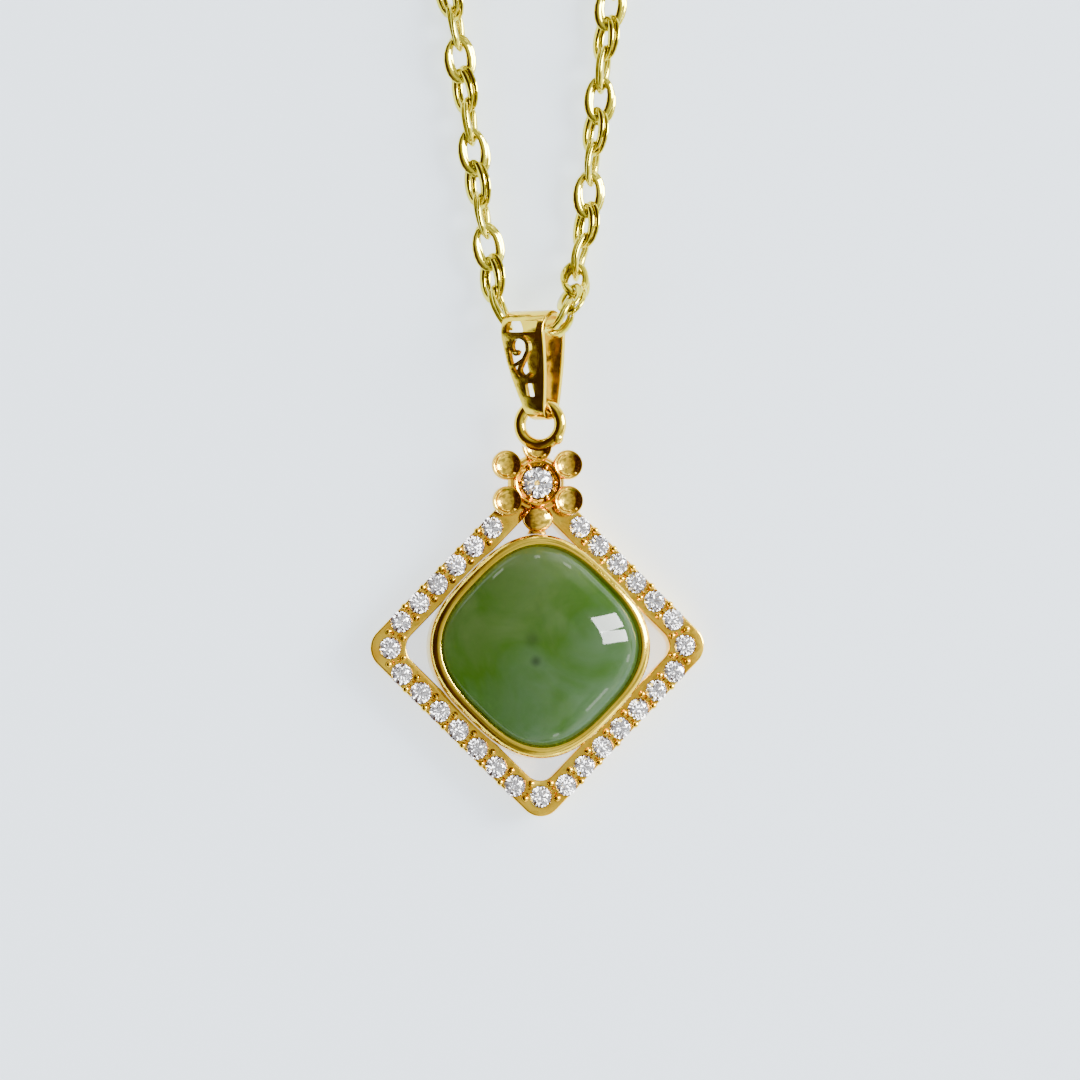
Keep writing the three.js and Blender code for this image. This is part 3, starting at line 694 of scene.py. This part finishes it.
def wound(angle, z, legs):
    """One strand's turns in the coil, leg by leg."""
    radius = COIL_OUTER - COIL_EDGE
    points = [round_coil(radius, angle, z)]
    for way, turns, rise in legs:
        points += spiral(radius, way, angle, turns, z, rise)
        angle += 2 * math.pi * turns
        radius += way * TURN_STEP * abs(turns)
        z += rise
    return points


def cut_to(points, length):
    """The line up to a length, the rest left off."""
    out = [Vector(points[0])]
    left = length
    for a, b in zip(points, points[1:]):
        step = Vector(b) - Vector(a)
        if step.length >= left:
            out.append(Vector(a) + step * (left / step.length))
            return out
        left -= step.length
        out.append(Vector(b))
    return out


def left_route():
    route = [
        in_bail(0, chain_in_bail_y - 0.05, 0),
        in_bail(-mouth, chain_in_bail_y + 0.02, 0),
        in_bail(-mouth - 0.7, chain_in_bail_y + 0.95, 0),
    ]
    route += [(x, y, low_z) for x, y in reversed(LEFT_STRAND)]
    return route + wound(math.radians(LEFT_COIL_ANGLE), low_z, LEFT_COIL_LEGS)


def right_route():
    route = [
        in_bail(0, chain_in_bail_y - 0.05, 0),
        in_bail(mouth, chain_in_bail_y + 0.02, 0),
        in_bail(mouth + 0.55, chain_in_bail_y + 1.0, -0.45),
        (2.3, 18.9, 1.5),
    ]
    route += [(x, y, low_z) for x, y in RIGHT_STRAND]
    route.append((5.3, 36.6, low_z + 0.45))
    return route + wound(math.radians(RIGHT_COIL_ANGLE), low_z + LAYER_STEP, RIGHT_COIL_LEGS)


def chain_piece(name, control, flat_y, replaced):
    """Half the chain along its route, with its mid-line and length."""
    line = cut_to(smooth_line(control, 8), CHAIN_HALF)
    lengths = [0.0]
    for a, b in zip(line, line[1:]):
        lengths.append(lengths[-1] + (b - a).length)
    total = lengths[-1]
    tangents = []
    for k in range(len(line)):
        ahead = line[min(len(line) - 1, k + 1)] - line[max(0, k - 1)]
        tangents.append(ahead.normalized())
    flat_at = next(s for s, point in zip(lengths, line) if point.y > flat_y)

    def at(s):
        s = min(max(s, 0.0), total)
        k = min(bisect.bisect_right(lengths, s), len(lengths) - 1) - 1
        t = (s - lengths[k]) / (lengths[k + 1] - lengths[k])
        tangent = tangents[k].lerp(tangents[k + 1], t).normalized()
        across = Vector((0, 0, 1)).cross(tangent).normalized()
        return line[k].lerp(line[k + 1], t), across, tangent.cross(across)

    def link_corner(middle, twin, a, b):
        out = LINK_WIRE_WIDTH / 2 * blunt(math.cos(b), 0.5)
        s = middle + twin * TWIN_ALONG + (LINK_HALF_LENGTH + out) * math.cos(a)
        wide = twin * TWIN_ACROSS + (LINK_HALF_WIDTH + out) * math.sin(a)
        lift = twin * TWIN_LIFT - LINK_LIFT * math.sin(2 * a) + LINK_WIRE_THICKNESS / 2 * math.sin(b)
        point, across, normal = at(s)
        turn = math.pi * (middle + LINK_TWIST * (s - middle) - flat_at) / HALF_TWIST
        c, d = math.cos(turn), math.sin(turn)
        return point + across * (wide * c - lift * d) + normal * (wide * d + lift * c)

    soup = Soup()
    link_end = LINK_HALF_LENGTH + LINK_WIRE_WIDTH / 2 + TWIN_ALONG
    middle = flat_at - LINK_PITCH * int((flat_at - link_end) / LINK_PITCH)
    while middle + link_end < total:
        for twin in (-1, 1):
            rings = []
            for a in around(LINK_STEPS):
                rings.append([link_corner(middle, twin, a, b) for b in around(LINK_SIDES)])
            soup.add(*ring_stack(rings, closed=True))
        middle += LINK_PITCH
    thing = piece(name, soup, chain_gold, replaced, smooth_angle=70)
    return thing, line, total


chain_left, left_line, left_length = chain_piece(
    "chain_left", left_route(), LEFT_FLAT_Y, ["chain", "chain_coil"]
)
chain_right, right_line, right_length = chain_piece("chain_right", right_route(), RIGHT_FLAT_Y, [])
for node_name in ("clasp", "clasp_ring"):
    clasp_materials = bpy.data.objects[node_name].data.materials
    clasp_materials.clear()
    clasp_materials.append(chain_gold)

# Jade and its bezel


def cushion_ring(half, z, steps=160):
    ring = []
    for a in around(steps):
        c = abs(math.cos(a - EIGHTH))
        s = abs(math.sin(a - EIGHTH))
        reach = half / (c**JADE_SQUARENESS + s**JADE_SQUARENESS) ** (1 / JADE_SQUARENESS)
        ring.append((reach * math.cos(a), reach * math.sin(a), z))
    return ring


def dome_height(half):
    share = min(1.0, half / jade_half)
    return JADE_DOME * (1 - share**JADE_DOME_FULLNESS) ** (1 / JADE_DOME_FULLNESS)


def make_jade():
    rings = [cushion_ring(jade_half - 0.05, girdle_top - JADE_GIRDLE)]
    rings.append(cushion_ring(jade_half, girdle_top - JADE_GIRDLE + 0.06))
    levels = 44
    for i in range(levels):
        a = math.pi / 2 * i / levels
        half = jade_half * math.cos(a) ** (2 / JADE_DOME_FULLNESS)
        rings.append(cushion_ring(half, girdle_top + JADE_DOME * math.sin(a) ** (2 / JADE_DOME_FULLNESS)))
    points, faces = ring_stack(rings, cap_high=False)
    top = len(points)
    points.append((0, 0, girdle_top + JADE_DOME))
    steps = len(rings[0])
    start = (len(rings) - 1) * steps
    for i in range(steps):
        faces.append([start + i, start + (i + 1) % steps, top])
    return Soup().add(points, faces)


piece("jade_stone", make_jade(), jade, ["jade_cabochon"], smooth_angle=60)


def make_bezel():
    at_lip = girdle_top + dome_height(lip_half)
    lip_top = at_lip + LIP_THICKNESS * 0.5
    shoulder = at_lip - LIP_THICKNESS * 0.9
    profile = [
        (bezel_half - BEZEL_TAPER - 0.03, 0.0),
        (bezel_half - BEZEL_TAPER, 0.04),
        (bezel_half, BEZEL_TAPER_HEIGHT),
    ]
    reach = bezel_half - lip_half - 0.17
    rise = lip_top - shoulder
    for i in range(11):
        a = math.pi / 2 * i / 10
        profile.append((bezel_half - reach * (1 - math.cos(a)), shoulder + rise * math.sin(a)))
    # a crest, then a slope that goes down to the stone
    profile += [
        (lip_half + 0.13, lip_top - 0.005),
        (lip_half + 0.1, lip_top - 0.03),
        (lip_half + 0.05, at_lip + 0.06),
        (lip_half + 0.01, at_lip + 0.02),
        (lip_half, at_lip + 0.01),
    ]
    for i in range(1, 5):
        half = lip_half + (jade_half - lip_half) * i / 5
        profile.append((half, girdle_top + dome_height(half) + STONE_CLEARANCE))
    profile.append((cavity_half, girdle_top + STONE_CLEARANCE))
    profile.append((cavity_half, BACK_PLATE))
    rings = [cushion_ring(half, z) for half, z in profile]
    return Soup().add(*ring_stack(rings))


piece("bezel", make_bezel(), gilt, ["bezel_cup"], smooth_angle=40)

# Halo


def on_side(along, out, side):
    a = side * 2 * EIGHTH + EIGHTH
    return (math.cos(a) * out - math.sin(a) * along, math.sin(a) * out + math.cos(a) * along)


def halo_stones():
    half = HALO_STONES_TO_CORNER * halo_pitch
    stones = [on_side(half - k * halo_pitch, halo_line, 1) for k in range(6, 0, -1)]
    stones.append(on_side(half, half, 1))
    stones += [on_side(k * halo_pitch - half, halo_line, 2) for k in range(1, 8)]
    stones.append(on_side(half, half, 2))
    stones += [on_side(k * halo_pitch - half, halo_line, 3) for k in range(1, 8)]
    stones.append(on_side(half, half, 3))
    stones += [on_side(k * halo_pitch - half, halo_line, 0) for k in range(1, 7)]
    return stones


stones = halo_stones()
stone_girdle = HALO_HEIGHT - HALO_SEAT_DEPTH
# how far from the row's line the beads and the pits beside them are
BEAD_OUT = 0.42
BEAD_RADIUS = 0.185
PIT_OUT = 0.2
# the most that a stone is set out of level, in degrees
STONE_LEAN = 2.5


def turned_square(half_side, radius, z, corner_steps=12):
    ring = []
    inner = half_side - radius
    for corner in range(4):
        middle = corner * 2 * EIGHTH
        cx = math.sqrt(2) * inner * math.cos(middle)
        cy = math.sqrt(2) * inner * math.sin(middle)
        for i in range(corner_steps + 1):
            a = middle - EIGHTH + 2 * EIGHTH * i / corner_steps
            ring.append((cx + radius * math.cos(a), cy + radius * math.sin(a), z))
    return ring


def make_halo_band():
    soft = 0.09
    rings = [
        turned_square(halo_outer - HALO_OUTER_TAPER - 0.04, HALO_OUTER_CORNER, 0.0),
        turned_square(halo_outer - HALO_OUTER_TAPER, HALO_OUTER_CORNER, 0.05),
    ]
    for i in range(5):
        a = math.pi / 2 * i / 4
        cut = soft * (1 - math.cos(a))
        z = HALO_HEIGHT - soft + soft * math.sin(a)
        rings.append(turned_square(halo_outer - cut, HALO_OUTER_CORNER - cut, z))
    return Soup().add(*ring_stack(rings))


def halo_openings():
    """The middle of the frame with a rounded upper edge, and the room for the bezel."""
    soft = 0.06
    rings = [turned_square(halo_inner + HALO_INNER_TAPER, HALO_INNER_CORNER, -0.1)]
    for i in range(4):
        a = math.pi / 2 * i / 3
        flare = soft * (1 - math.cos(a))
        z = HALO_HEIGHT - soft + soft * math.sin(a)
        rings.append(turned_square(halo_inner + flare, HALO_INNER_CORNER + flare, z))
    rings.append(turned_square(halo_inner + soft, HALO_INNER_CORNER + soft, HALO_HEIGHT + 0.2))
    room = [cushion_ring(bezel_half + HALO_GAP, z) for z in (-0.15, HALO_HEIGHT + 0.25)]
    return Soup().add(*ring_stack(rings)).add(*ring_stack(room))


def gaps():
    """The middle and the outward direction of each gap between neighbouring stones."""
    found = []
    for (ax, ay), (bx, by) in zip(stones, stones[1:]):
        length = math.hypot(bx - ax, by - ay)
        found.append((((ax + bx) / 2, (ay + by) / 2), ((by - ay) / length, -(bx - ax) / length)))
    return found


def make_halo():
    band = plain_object("halo_setting", make_halo_band(), smooth_angle=0)
    cut_away(band, halo_openings())
    cutters = Soup()
    r = HALO_ZIRCON / 2 + 0.02
    hollow = [(0, -0.62), (r * 0.45, -0.45), (r, -0.02), (r + 0.03, 0.3), (0, 0.3)]
    for x, y in stones:
        cutters.add(*turned(hollow, 28, (x, y, stone_girdle)))
    pit = [(0, -0.4), (0.09, -0.38), (0.13, 0.2), (0, 0.2)]
    beads = Soup()
    for (mx, my), (nx, ny) in gaps():
        for way in (-1, 1):
            cutters.add(*turned(pit, 10, (mx + nx * PIT_OUT * way, my + ny * PIT_OUT * way, HALO_HEIGHT)))
            spot = (mx + nx * BEAD_OUT * way, my + ny * BEAD_OUT * way, HALO_HEIGHT - 0.03)
            beads.add(*ball(spot, BEAD_RADIUS, 14))
    cut_away(band, cutters)
    add_on(band, beads)
    return gilt_piece(band, gilt_frame, "halo_frame", 35)


make_halo()


def brilliant(width, turn=0.0):
    """A round brilliant with its girdle's lower edge at z = 0."""
    r = width / 2
    crown, girdle, pavilion = 0.15 * width, 0.025 * width, 0.43 * width
    table_r, star_r, low_r = 0.56 * r, 0.8 * r, 0.24 * r
    points = []

    def put(radius, eighths, z):
        a = EIGHTH * eighths + turn
        points.append((radius * math.cos(a), radius * math.sin(a), z))
        return len(points) - 1

    half_eighth = math.cos(math.pi / 8)
    star_z = girdle + crown * (r - star_r * half_eighth) / (r - table_r)
    facet_z = -pavilion * (1 - low_r * half_eighth / r)
    table = [put(table_r, k, girdle + crown) for k in range(8)]
    star = [put(star_r, k + 0.5, star_z) for k in range(8)]
    upper = [put(r, k / 2, girdle) for k in range(16)]
    lower = [put(r, k / 2, 0) for k in range(16)]
    low = [put(low_r, k + 0.5, facet_z) for k in range(8)]
    culet = put(0, 0, -pavilion)
    faces = [table]
    for k in range(8):
        n = (k + 1) % 8
        faces.append([table[k], star[k], table[n]])
        faces.append([table[k], star[k - 1], upper[2 * k], star[k]])
        faces.append([star[k], upper[2 * k], upper[2 * k + 1]])
        faces.append([star[k], upper[2 * k + 1], upper[(2 * k + 2) % 16]])
        faces.append([culet, low[k], lower[2 * k], low[k - 1]])
        faces.append([low[k], lower[2 * k + 1], lower[2 * k]])
        faces.append([low[k], lower[(2 * k + 2) % 16], lower[2 * k + 1]])
    for k in range(16):
        n = (k + 1) % 16
        faces.append([upper[k], lower[k], lower[n], upper[n]])
    return points, faces


def put_stone(name, node_name, x, y, z, width):
    tilt = Matrix.Rotation(math.radians(random.uniform(-STONE_LEAN, STONE_LEAN)), 4, "X")
    tilt = tilt @ Matrix.Rotation(math.radians(random.uniform(-STONE_LEAN, STONE_LEAN)), 4, "Y")
    soup = Soup().add(*brilliant(width, random.uniform(0, EIGHTH)))
    soup.moved(Matrix.Translation((x, y, z)) @ tilt)
    return piece(name, soup, zircon, [node_name], smooth_angle=0)


for index, (x, y) in enumerate(stones):
    number = f"{index + 1:02d}"
    put_stone(f"stone_{number}", f"halo_zircon_{number}", x, y, stone_girdle, HALO_ZIRCON)

# Flower

ring_turn = Matrix.Rotation(-math.radians(RING_TURN), 4, "Y")
ring_matrix = Matrix.Translation((RING_X, ring_y, ring_z)) @ ring_turn


def petal_angle(index):
    return 2 * math.pi * (index + 0.5) / PETAL_COUNT


def make_flower():
    soup = Soup()
    r = PETAL_WIDTH / 2
    flat = r - PETAL_RIM
    t = PETAL_THICKNESS
    crest = r - PETAL_RIM * 0.25
    side = smooth_line([(r * 0.5, 0.0), (r * 0.85, t * 0.22), (r, t * 0.62), (crest, t * 0.95)], 5)
    rim = smooth_line([(r - PETAL_RIM * 0.45, t), (flat, t - 0.02), (flat * 0.8, t - PETAL_DISH * 0.5)], 4)
    dish = smooth_line([(flat * 0.62, t - PETAL_DISH * 0.78), (flat * 0.3, t - PETAL_DISH * 0.96)], 4)
    profile = [(0, 0)] + side + rim + dish + [(0, t - PETAL_DISH)]
    for i in range(PETAL_COUNT):
        a = petal_angle(i)
        x = PETAL_RADIUS * math.cos(a)
        y = flower_y + PETAL_RADIUS * math.sin(a)
        if math.sin(a) > -0.9:
            soup.add(*turned(profile, 40, (x, y, flower_base)))
        else:
            # the lowest petal is a bead
            place = Matrix.Translation((x, y, flower_base + 0.37)) @ Matrix.Diagonal((0.8, 0.68, 0.4, 1))
            bead = Soup().add(*ball((0, 0, 0), 1.0, 40)).moved(place)
            soup.add(bead.points, bead.faces)
    r = CUP_WIDTH / 2
    h = CUP_HEIGHT
    cup = [(0, 0)]
    cup += smooth_line([(r * 0.75, 0.0), (r * 0.97, h * 0.35), (r, h * 0.75), (r - 0.08, h)], 4)
    cup += smooth_line([(r - 0.16, h - 0.02), (r - 0.3, h * 0.8), (CENTRE_ZIRCON / 2 + 0.04, h * 0.7)], 4)
    cup += [(CENTRE_ZIRCON / 2 + 0.02, h * 0.6), (0.2, h * 0.25), (0, h * 0.2)]
    soup.add(*turned(cup, 48, (0, flower_y, flower_base)))
    # the web that joins the petals to the cup
    web = [(0, 0)]
    web += smooth_line([(WEB_REACH - 0.1, 0.0), (WEB_REACH, 0.12), (WEB_REACH - 0.12, 0.34)], 4)
    web.append((0, 0.42))
    soup.add(*turned(web, 48, (0, flower_y, flower_base)))
    return soup


centre_girdle = flower_base + CUP_HEIGHT * 0.72 + 0.02


def ring_room():
    """The round that the jump ring takes from the top petal."""
    reach = ring_outer + 0.01
    outline = [(reach * math.cos(a), reach * math.sin(a)) for a in around(64)]
    return Soup().add(*prism(outline, -2.0, 2.0)).moved(ring_matrix)


def make_neck():
    start = cushion_ring(bezel_half, 0)[0][0] + 0.03
    rings = []
    for y, half, low, high in (
        (start, 0.5, 1.2, 2.1),
        (start + 0.2, 0.42, 1.3, 2.2),
        (flower_y - PETAL_RADIUS, 0.36, flower_base, 2.2),
    ):
        ring = []
        for a in around(16):
            z = (low + high) / 2 + blunt(math.sin(a), 0.5) * (high - low) / 2
            ring.append((blunt(math.cos(a), 0.5) * half, y, z))
        rings.append(ring)
    return Soup().add(*ring_stack(rings))


def make_flower_piece():
    flower = plain_object("flower_setting", make_flower(), smooth_angle=0)
    r = CENTRE_ZIRCON / 2 + 0.02
    seat = turned([(0, -0.74), (r, -0.02), (r, 0.6), (0, 0.6)], 40, (0, flower_y, centre_girdle))
    cut_away(flower, ring_room().add(*seat))
    more = make_neck()
    for i in range(PETAL_COUNT):
        a = petal_angle(i) + math.pi / PETAL_COUNT
        reach = CENTRE_ZIRCON / 2 + 0.06
        centre = (reach * math.cos(a), flower_y + reach * math.sin(a), centre_girdle + 0.05)
        more.add(*ball(centre, 0.15, 14, 1.1))
    add_on(flower, more)
    return gilt_piece(flower, gilt_flower, "flower", 40)


make_flower_piece()
put_stone("flower_stone", "flower_zircon", 0, flower_y, centre_girdle, CENTRE_ZIRCON)

# Jump ring with its solder


def make_ring():
    circle = [(ring_mean * math.cos(a), ring_mean * math.sin(a), 0) for a in around(72)]
    soup = Soup().add(*swept(circle, RING_WIRE / 2, 24, closed=True))
    # solder where the ring was closed
    soup.add(*ball((0.86, -0.74, 0.0), 0.36, 24, 0.95))
    return soup.moved(ring_matrix)


piece("solder_ring", make_ring(), gilt, ["jump_ring"], smooth_angle=60)

# Bail

BAIL_EDGE = 0.06
loop_tilt = math.asin((bail_top_outer - bail_tip_outer) / bail_top_y)


def bail_share(y):
    return max(0.0, min(1.0, (y + bail_tip_outer) / BAIL_LENGTH))


def bail_half_width(y, top_width):
    swell = math.sin(math.pi / 2 * min(1.0, bail_share(y) * 1.12)) ** 0.9
    return (BAIL_TIP_WIDTH + (top_width - BAIL_TIP_WIDTH) * swell) / 2


def bail_middle(y):
    return BAIL_SKEW_TOP + (BAIL_SKEW_TIP - BAIL_SKEW_TOP) * (1 - bail_share(y)) ** 2


def loop_line():
    """The strip's mid-line round the loop: z, y and the outward direction in z, y."""
    low = bail_tip_outer - BAIL_STRIP / 2
    high = bail_top_outer - BAIL_STRIP / 2
    top = []
    for i in range(37):
        a = -loop_tilt + (math.pi + 2 * loop_tilt) * i / 36
        top.append(Vector((high * math.cos(a), bail_top_y + high * math.sin(a), math.cos(a), math.sin(a))))
    tip = []
    for i in range(25):
        a = math.pi + loop_tilt + (math.pi - 2 * loop_tilt) * i / 24
        tip.append(Vector((low * math.cos(a), low * math.sin(a), math.cos(a), math.sin(a))))
    back = [top[-1].lerp(tip[0], i / 20) for i in range(1, 20)]
    front = [tip[-1].lerp(top[0], i / 20) for i in range(1, 20)]
    return top + back + tip + front


def bail_strip():
    rings = []
    corners = ((1, 1), (-1, 1), (-1, -1), (1, -1))
    for z, y, nz, ny in loop_line():
        front = max(0.0, min(1.0, 0.5 + z / 0.6))
        half = bail_half_width(y, BAIL_BACK_WIDTH + (BAIL_TOP_WIDTH - BAIL_BACK_WIDTH) * front)
        ring = []
        for corner, (sx, sn) in enumerate(corners):
            for step in range(4):
                a = math.pi / 2 * (corner + step / 3)
                x = bail_middle(y) + sx * (half - BAIL_EDGE) + BAIL_EDGE * math.cos(a)
                out = sn * (BAIL_STRIP / 2 - BAIL_EDGE) + BAIL_EDGE * math.sin(a)
                ring.append((x, y + ny * out, z + nz * out))
        rings.append(ring)
    return Soup().add(*ring_stack(rings, closed=True))


def bent_strip(points, width):
    """The outline of a strip of even width along a bent line."""
    left, right = [], []
    for i, point in enumerate(points):
        before = Vector(points[max(0, i - 1)])
        after = Vector(points[min(len(points) - 1, i + 1)])
        along = (after - before).normalized()
        side = Vector((-along.y, along.x)) * (width / 2)
        left.append(tuple(Vector(point) + side))
        right.append(tuple(Vector(point) - side))
    return right + left[::-1]


def arc(cx, cy, radius, start, end, steps):
    out = []
    for i in range(steps + 1):
        a = start + (end - start) * i / steps
        out.append((cx + radius * math.cos(a), cy + radius * math.sin(a)))
    return out


def scroll(x, top):
    """An upper curl with a tail, a bar that falls to the left, a lower curl, and a strut to the border."""
    high_y = top - UPPER_CURL - SCROLL_STRIP * 0.4
    upper = arc(x - 0.25, high_y, UPPER_CURL, 1.2 * math.pi, -0.17 * math.pi, 28)
    low_y = top - OVAL_HIGH + LOWER_CURL + SCROLL_STRIP * 0.4
    lower = arc(x - 0.1, low_y, LOWER_CURL, 0.85 * math.pi, 1.85 * math.pi, 18)
    tx, ty = upper[0]
    middle = tuple((Vector(upper[-1]) + Vector(lower[0])) / 2)
    lines = [
        upper,
        smooth_line([(tx, ty), (tx + 0.15, ty - 0.1), (tx + 0.27, ty + 0.08)], 4),
        [upper[-1], lower[0]],
        lower,
        [middle, (x - 0.95, middle[1] - 0.45)],
    ]
    return [bent_strip(line, SCROLL_STRIP) for line in lines]


def rounded(corners, radius, steps=5):
    """A polygon with its corners rounded."""
    out = []
    for k, corner in enumerate(corners):
        here = Vector(corner)
        before = (Vector(corners[k - 1]) - here).normalized()
        after = (Vector(corners[(k + 1) % len(corners)]) - here).normalized()
        for i in range(steps + 1):
            t = i / steps
            out.append(tuple(here + before * radius * (1 - t) ** 2 + after * radius * t**2))
    return out


def make_bail():
    front, behind = BAIL_DEPTH, 0.02
    slot_top = BAIL_LENGTH - bail_tip_outer - SLOT_FROM_TOP
    slot_bottom = slot_top - SLOT_HIGH
    slot_x = bail_middle(slot_top)
    slot_half = bail_half_width(slot_top, BAIL_TOP_WIDTH) - SLOT_BORDER
    slot = rounded(
        [
            (slot_x - slot_half, slot_bottom),
            (slot_x + slot_half, slot_bottom),
            (slot_x + slot_half, slot_top),
            (slot_x - slot_half, slot_top),
        ],
        0.09,
    )
    oval_top = slot_bottom - OVAL_FROM_SLOT
    oval_y = oval_top - OVAL_HIGH / 2
    oval_x = bail_middle(oval_y)
    oval_half = bail_half_width(oval_y, BAIL_TOP_WIDTH) - OVAL_BORDER
    oval = []
    for a in around(64):
        taper = 1 + 0.12 * math.sin(a)
        x = oval_x + blunt(math.cos(a), 0.8) * oval_half * taper
        oval.append((x, oval_y + blunt(math.sin(a), 0.8) * OVAL_HIGH / 2))
    low_top = oval_top - OVAL_HIGH - LOW_FROM_OVAL
    low_bottom = low_top - LOW_HIGH
    low_x = bail_middle(low_bottom)
    low = rounded(
        [
            (low_x - LOW_WIDTH * 0.4, low_bottom),
            (low_x + LOW_WIDTH * 0.4, low_bottom),
            (low_x + LOW_WIDTH * 0.5, low_top),
            (low_x - LOW_WIDTH * 0.5, low_top),
        ],
        0.08,
    )
    room = plain_object("room", Soup().add(*prism(oval, behind, front)), smooth_angle=0)
    for strip in scroll(oval_x, oval_top):
        cut_away(room, Soup().add(*prism(strip, behind - 0.1, front + 0.1)))
    bail = plain_object("bail_loop", bail_strip(), smooth_angle=0)
    cut_away(bail, Soup().add(*prism(slot, behind, front)).add(*prism(low, behind, front)))
    cut_with(bail, room)
    bail.data.transform(Matrix.Scale(MM, 4) @ bail_matrix @ Matrix.Scale(1 / MM, 4))
    return gilt_piece(bail, gilt_bail, "bail", 40)


make_bail()

# Floor and light

ROOM_LIGHT = 2.4
LIGHT_DISTANCE = 380
SPARKS = 20
SPARK_LIGHT = 14
SPARK_SIZE = 44
SPARK_TURN = 137.5
# where the small lamps stand: azimuth and elevation
LAMPS = ((-66, 10), (-36, 14), (-10, 7), (54, 10), (84, 13), (120, 8))
LAMP_SIZE = 42
LAMP_LIGHT = 7
PANE_WIDTH = 72
PANE_HEIGHT = 250
PANE_LIGHT = 75
FLOOR_HALF = 900

corners = [(x * FLOOR_HALF, y * FLOOR_HALF, 0) for x, y in ((-1, -1), (1, -1), (1, 1), (-1, 1))]
ground = plain_object("floor", Soup().add(corners, [[0, 1, 2, 3]]), smooth_angle=0)
ground.data.materials.append(floor_material())


def make_room():
    """A room that is dark on the left, and bright with soft patches on the right."""
    world = bpy.data.worlds.new("studio")
    bpy.context.scene.world = world
    world.use_nodes = True
    nodes, links = world.node_tree.nodes, world.node_tree.links
    way = nodes.new("ShaderNodeTexCoord")
    split = nodes.new("ShaderNodeSeparateXYZ")
    links.new(way.outputs["Generated"], split.inputs["Vector"])
    tones = nodes.new("ShaderNodeValToRGB")
    ramp = tones.color_ramp
    ramp.elements[0].position = 0.02
    ramp.elements[0].color = (0.98, 0.98, 1.0, 1)
    ramp.elements[1].position = 0.75
    ramp.elements[1].color = (0.52, 0.53, 0.55, 1)
    middle = ramp.elements.new(0.35)
    middle.color = (0.5, 0.51, 0.54, 1)
    links.new(split.outputs["Z"], tones.inputs["Fac"])
    patches = nodes.new("ShaderNodeTexNoise")
    patches.inputs["Scale"].default_value = 3.2
    patches.inputs["Detail"].default_value = 1.0
    links.new(way.outputs["Generated"], patches.inputs["Vector"])
    mottle = nodes.new("ShaderNodeMapRange")
    mottle.inputs["From Min"].default_value = 0.4
    mottle.inputs["From Max"].default_value = 0.6
    mottle.inputs["To Min"].default_value = 0.45
    mottle.inputs["To Max"].default_value = 1.55
    links.new(patches.outputs["Fac"], mottle.inputs["Value"])
    side = nodes.new("ShaderNodeMapRange")
    side.inputs["From Min"].default_value = -0.5
    side.inputs["From Max"].default_value = 0.5
    links.new(split.outputs["X"], side.inputs["Value"])
    colour = nodes.new("ShaderNodeMix")
    colour.data_type = "RGBA"
    colour.inputs["A"].default_value = (0.03, 0.012, 0.008, 1)
    links.new(side.outputs["Result"], colour.inputs["Factor"])
    links.new(tones.outputs["Color"], colour.inputs["B"])
    scale = nodes.new("ShaderNodeMath")
    scale.operation = "MULTIPLY"
    scale.inputs[1].default_value = ROOM_LIGHT
    links.new(mottle.outputs["Result"], scale.inputs[0])
    background = nodes["Background"]
    links.new(colour.outputs["Result"], background.inputs["Color"])
    links.new(scale.outputs["Value"], background.inputs["Strength"])


def soft_light(name, azimuth, elevation, width, height, radiance, matt=True, mirrored=True):
    """A soft box in some direction, with its own brightness whatever its size.

    matt: it lights matt surfaces. mirrored: polished surfaces mirror it.
    """
    light = bpy.data.lights.new(name, "AREA")
    light.shape = "RECTANGLE"
    light.size = width * MM
    light.size_y = height * MM
    light.energy = radiance * math.pi * width * height * MM * MM
    holder = bpy.data.objects.new(name, light)
    bpy.context.collection.objects.link(holder)
    a, e = math.radians(azimuth), math.radians(elevation)
    away = Vector((math.cos(e) * math.cos(a), math.cos(e) * math.sin(a), math.sin(e)))
    turn = away.to_track_quat("Z", "Y").to_matrix().to_4x4()
    holder.matrix_world = Matrix.Translation((away * LIGHT_DISTANCE + Vector((0, 0, 2))) * MM) @ turn
    holder.visible_diffuse = matt
    holder.visible_glossy = mirrored


make_room()
# a window of two panes to the right, with its light, and a fill from the left
soft_light("pane_left", 25, 29, PANE_WIDTH, PANE_HEIGHT, PANE_LIGHT, matt=False)
soft_light("pane_right", 11.5, 29, PANE_WIDTH, PANE_HEIGHT, PANE_LIGHT, matt=False)
soft_light("window_light", 18, 34, 190, 230, 11, mirrored=False)
soft_light("left_fill", 205, 32, 260, 200, 7, mirrored=False)
for index, (azimuth, elevation) in enumerate(LAMPS):
    soft_light(f"lamp_{index + 1}", azimuth, elevation, LAMP_SIZE, LAMP_SIZE, LAMP_LIGHT, matt=False)
# points that only the clear stones break up
for index in range(SPARKS):
    name = f"spark_{index + 1}"
    elevation = 24 + 58 * (index + 0.5) / SPARKS
    soft_light(
        name, SPARK_TURN * index, elevation, SPARK_SIZE, SPARK_SIZE, SPARK_LIGHT, matt=False, mirrored=False
    )
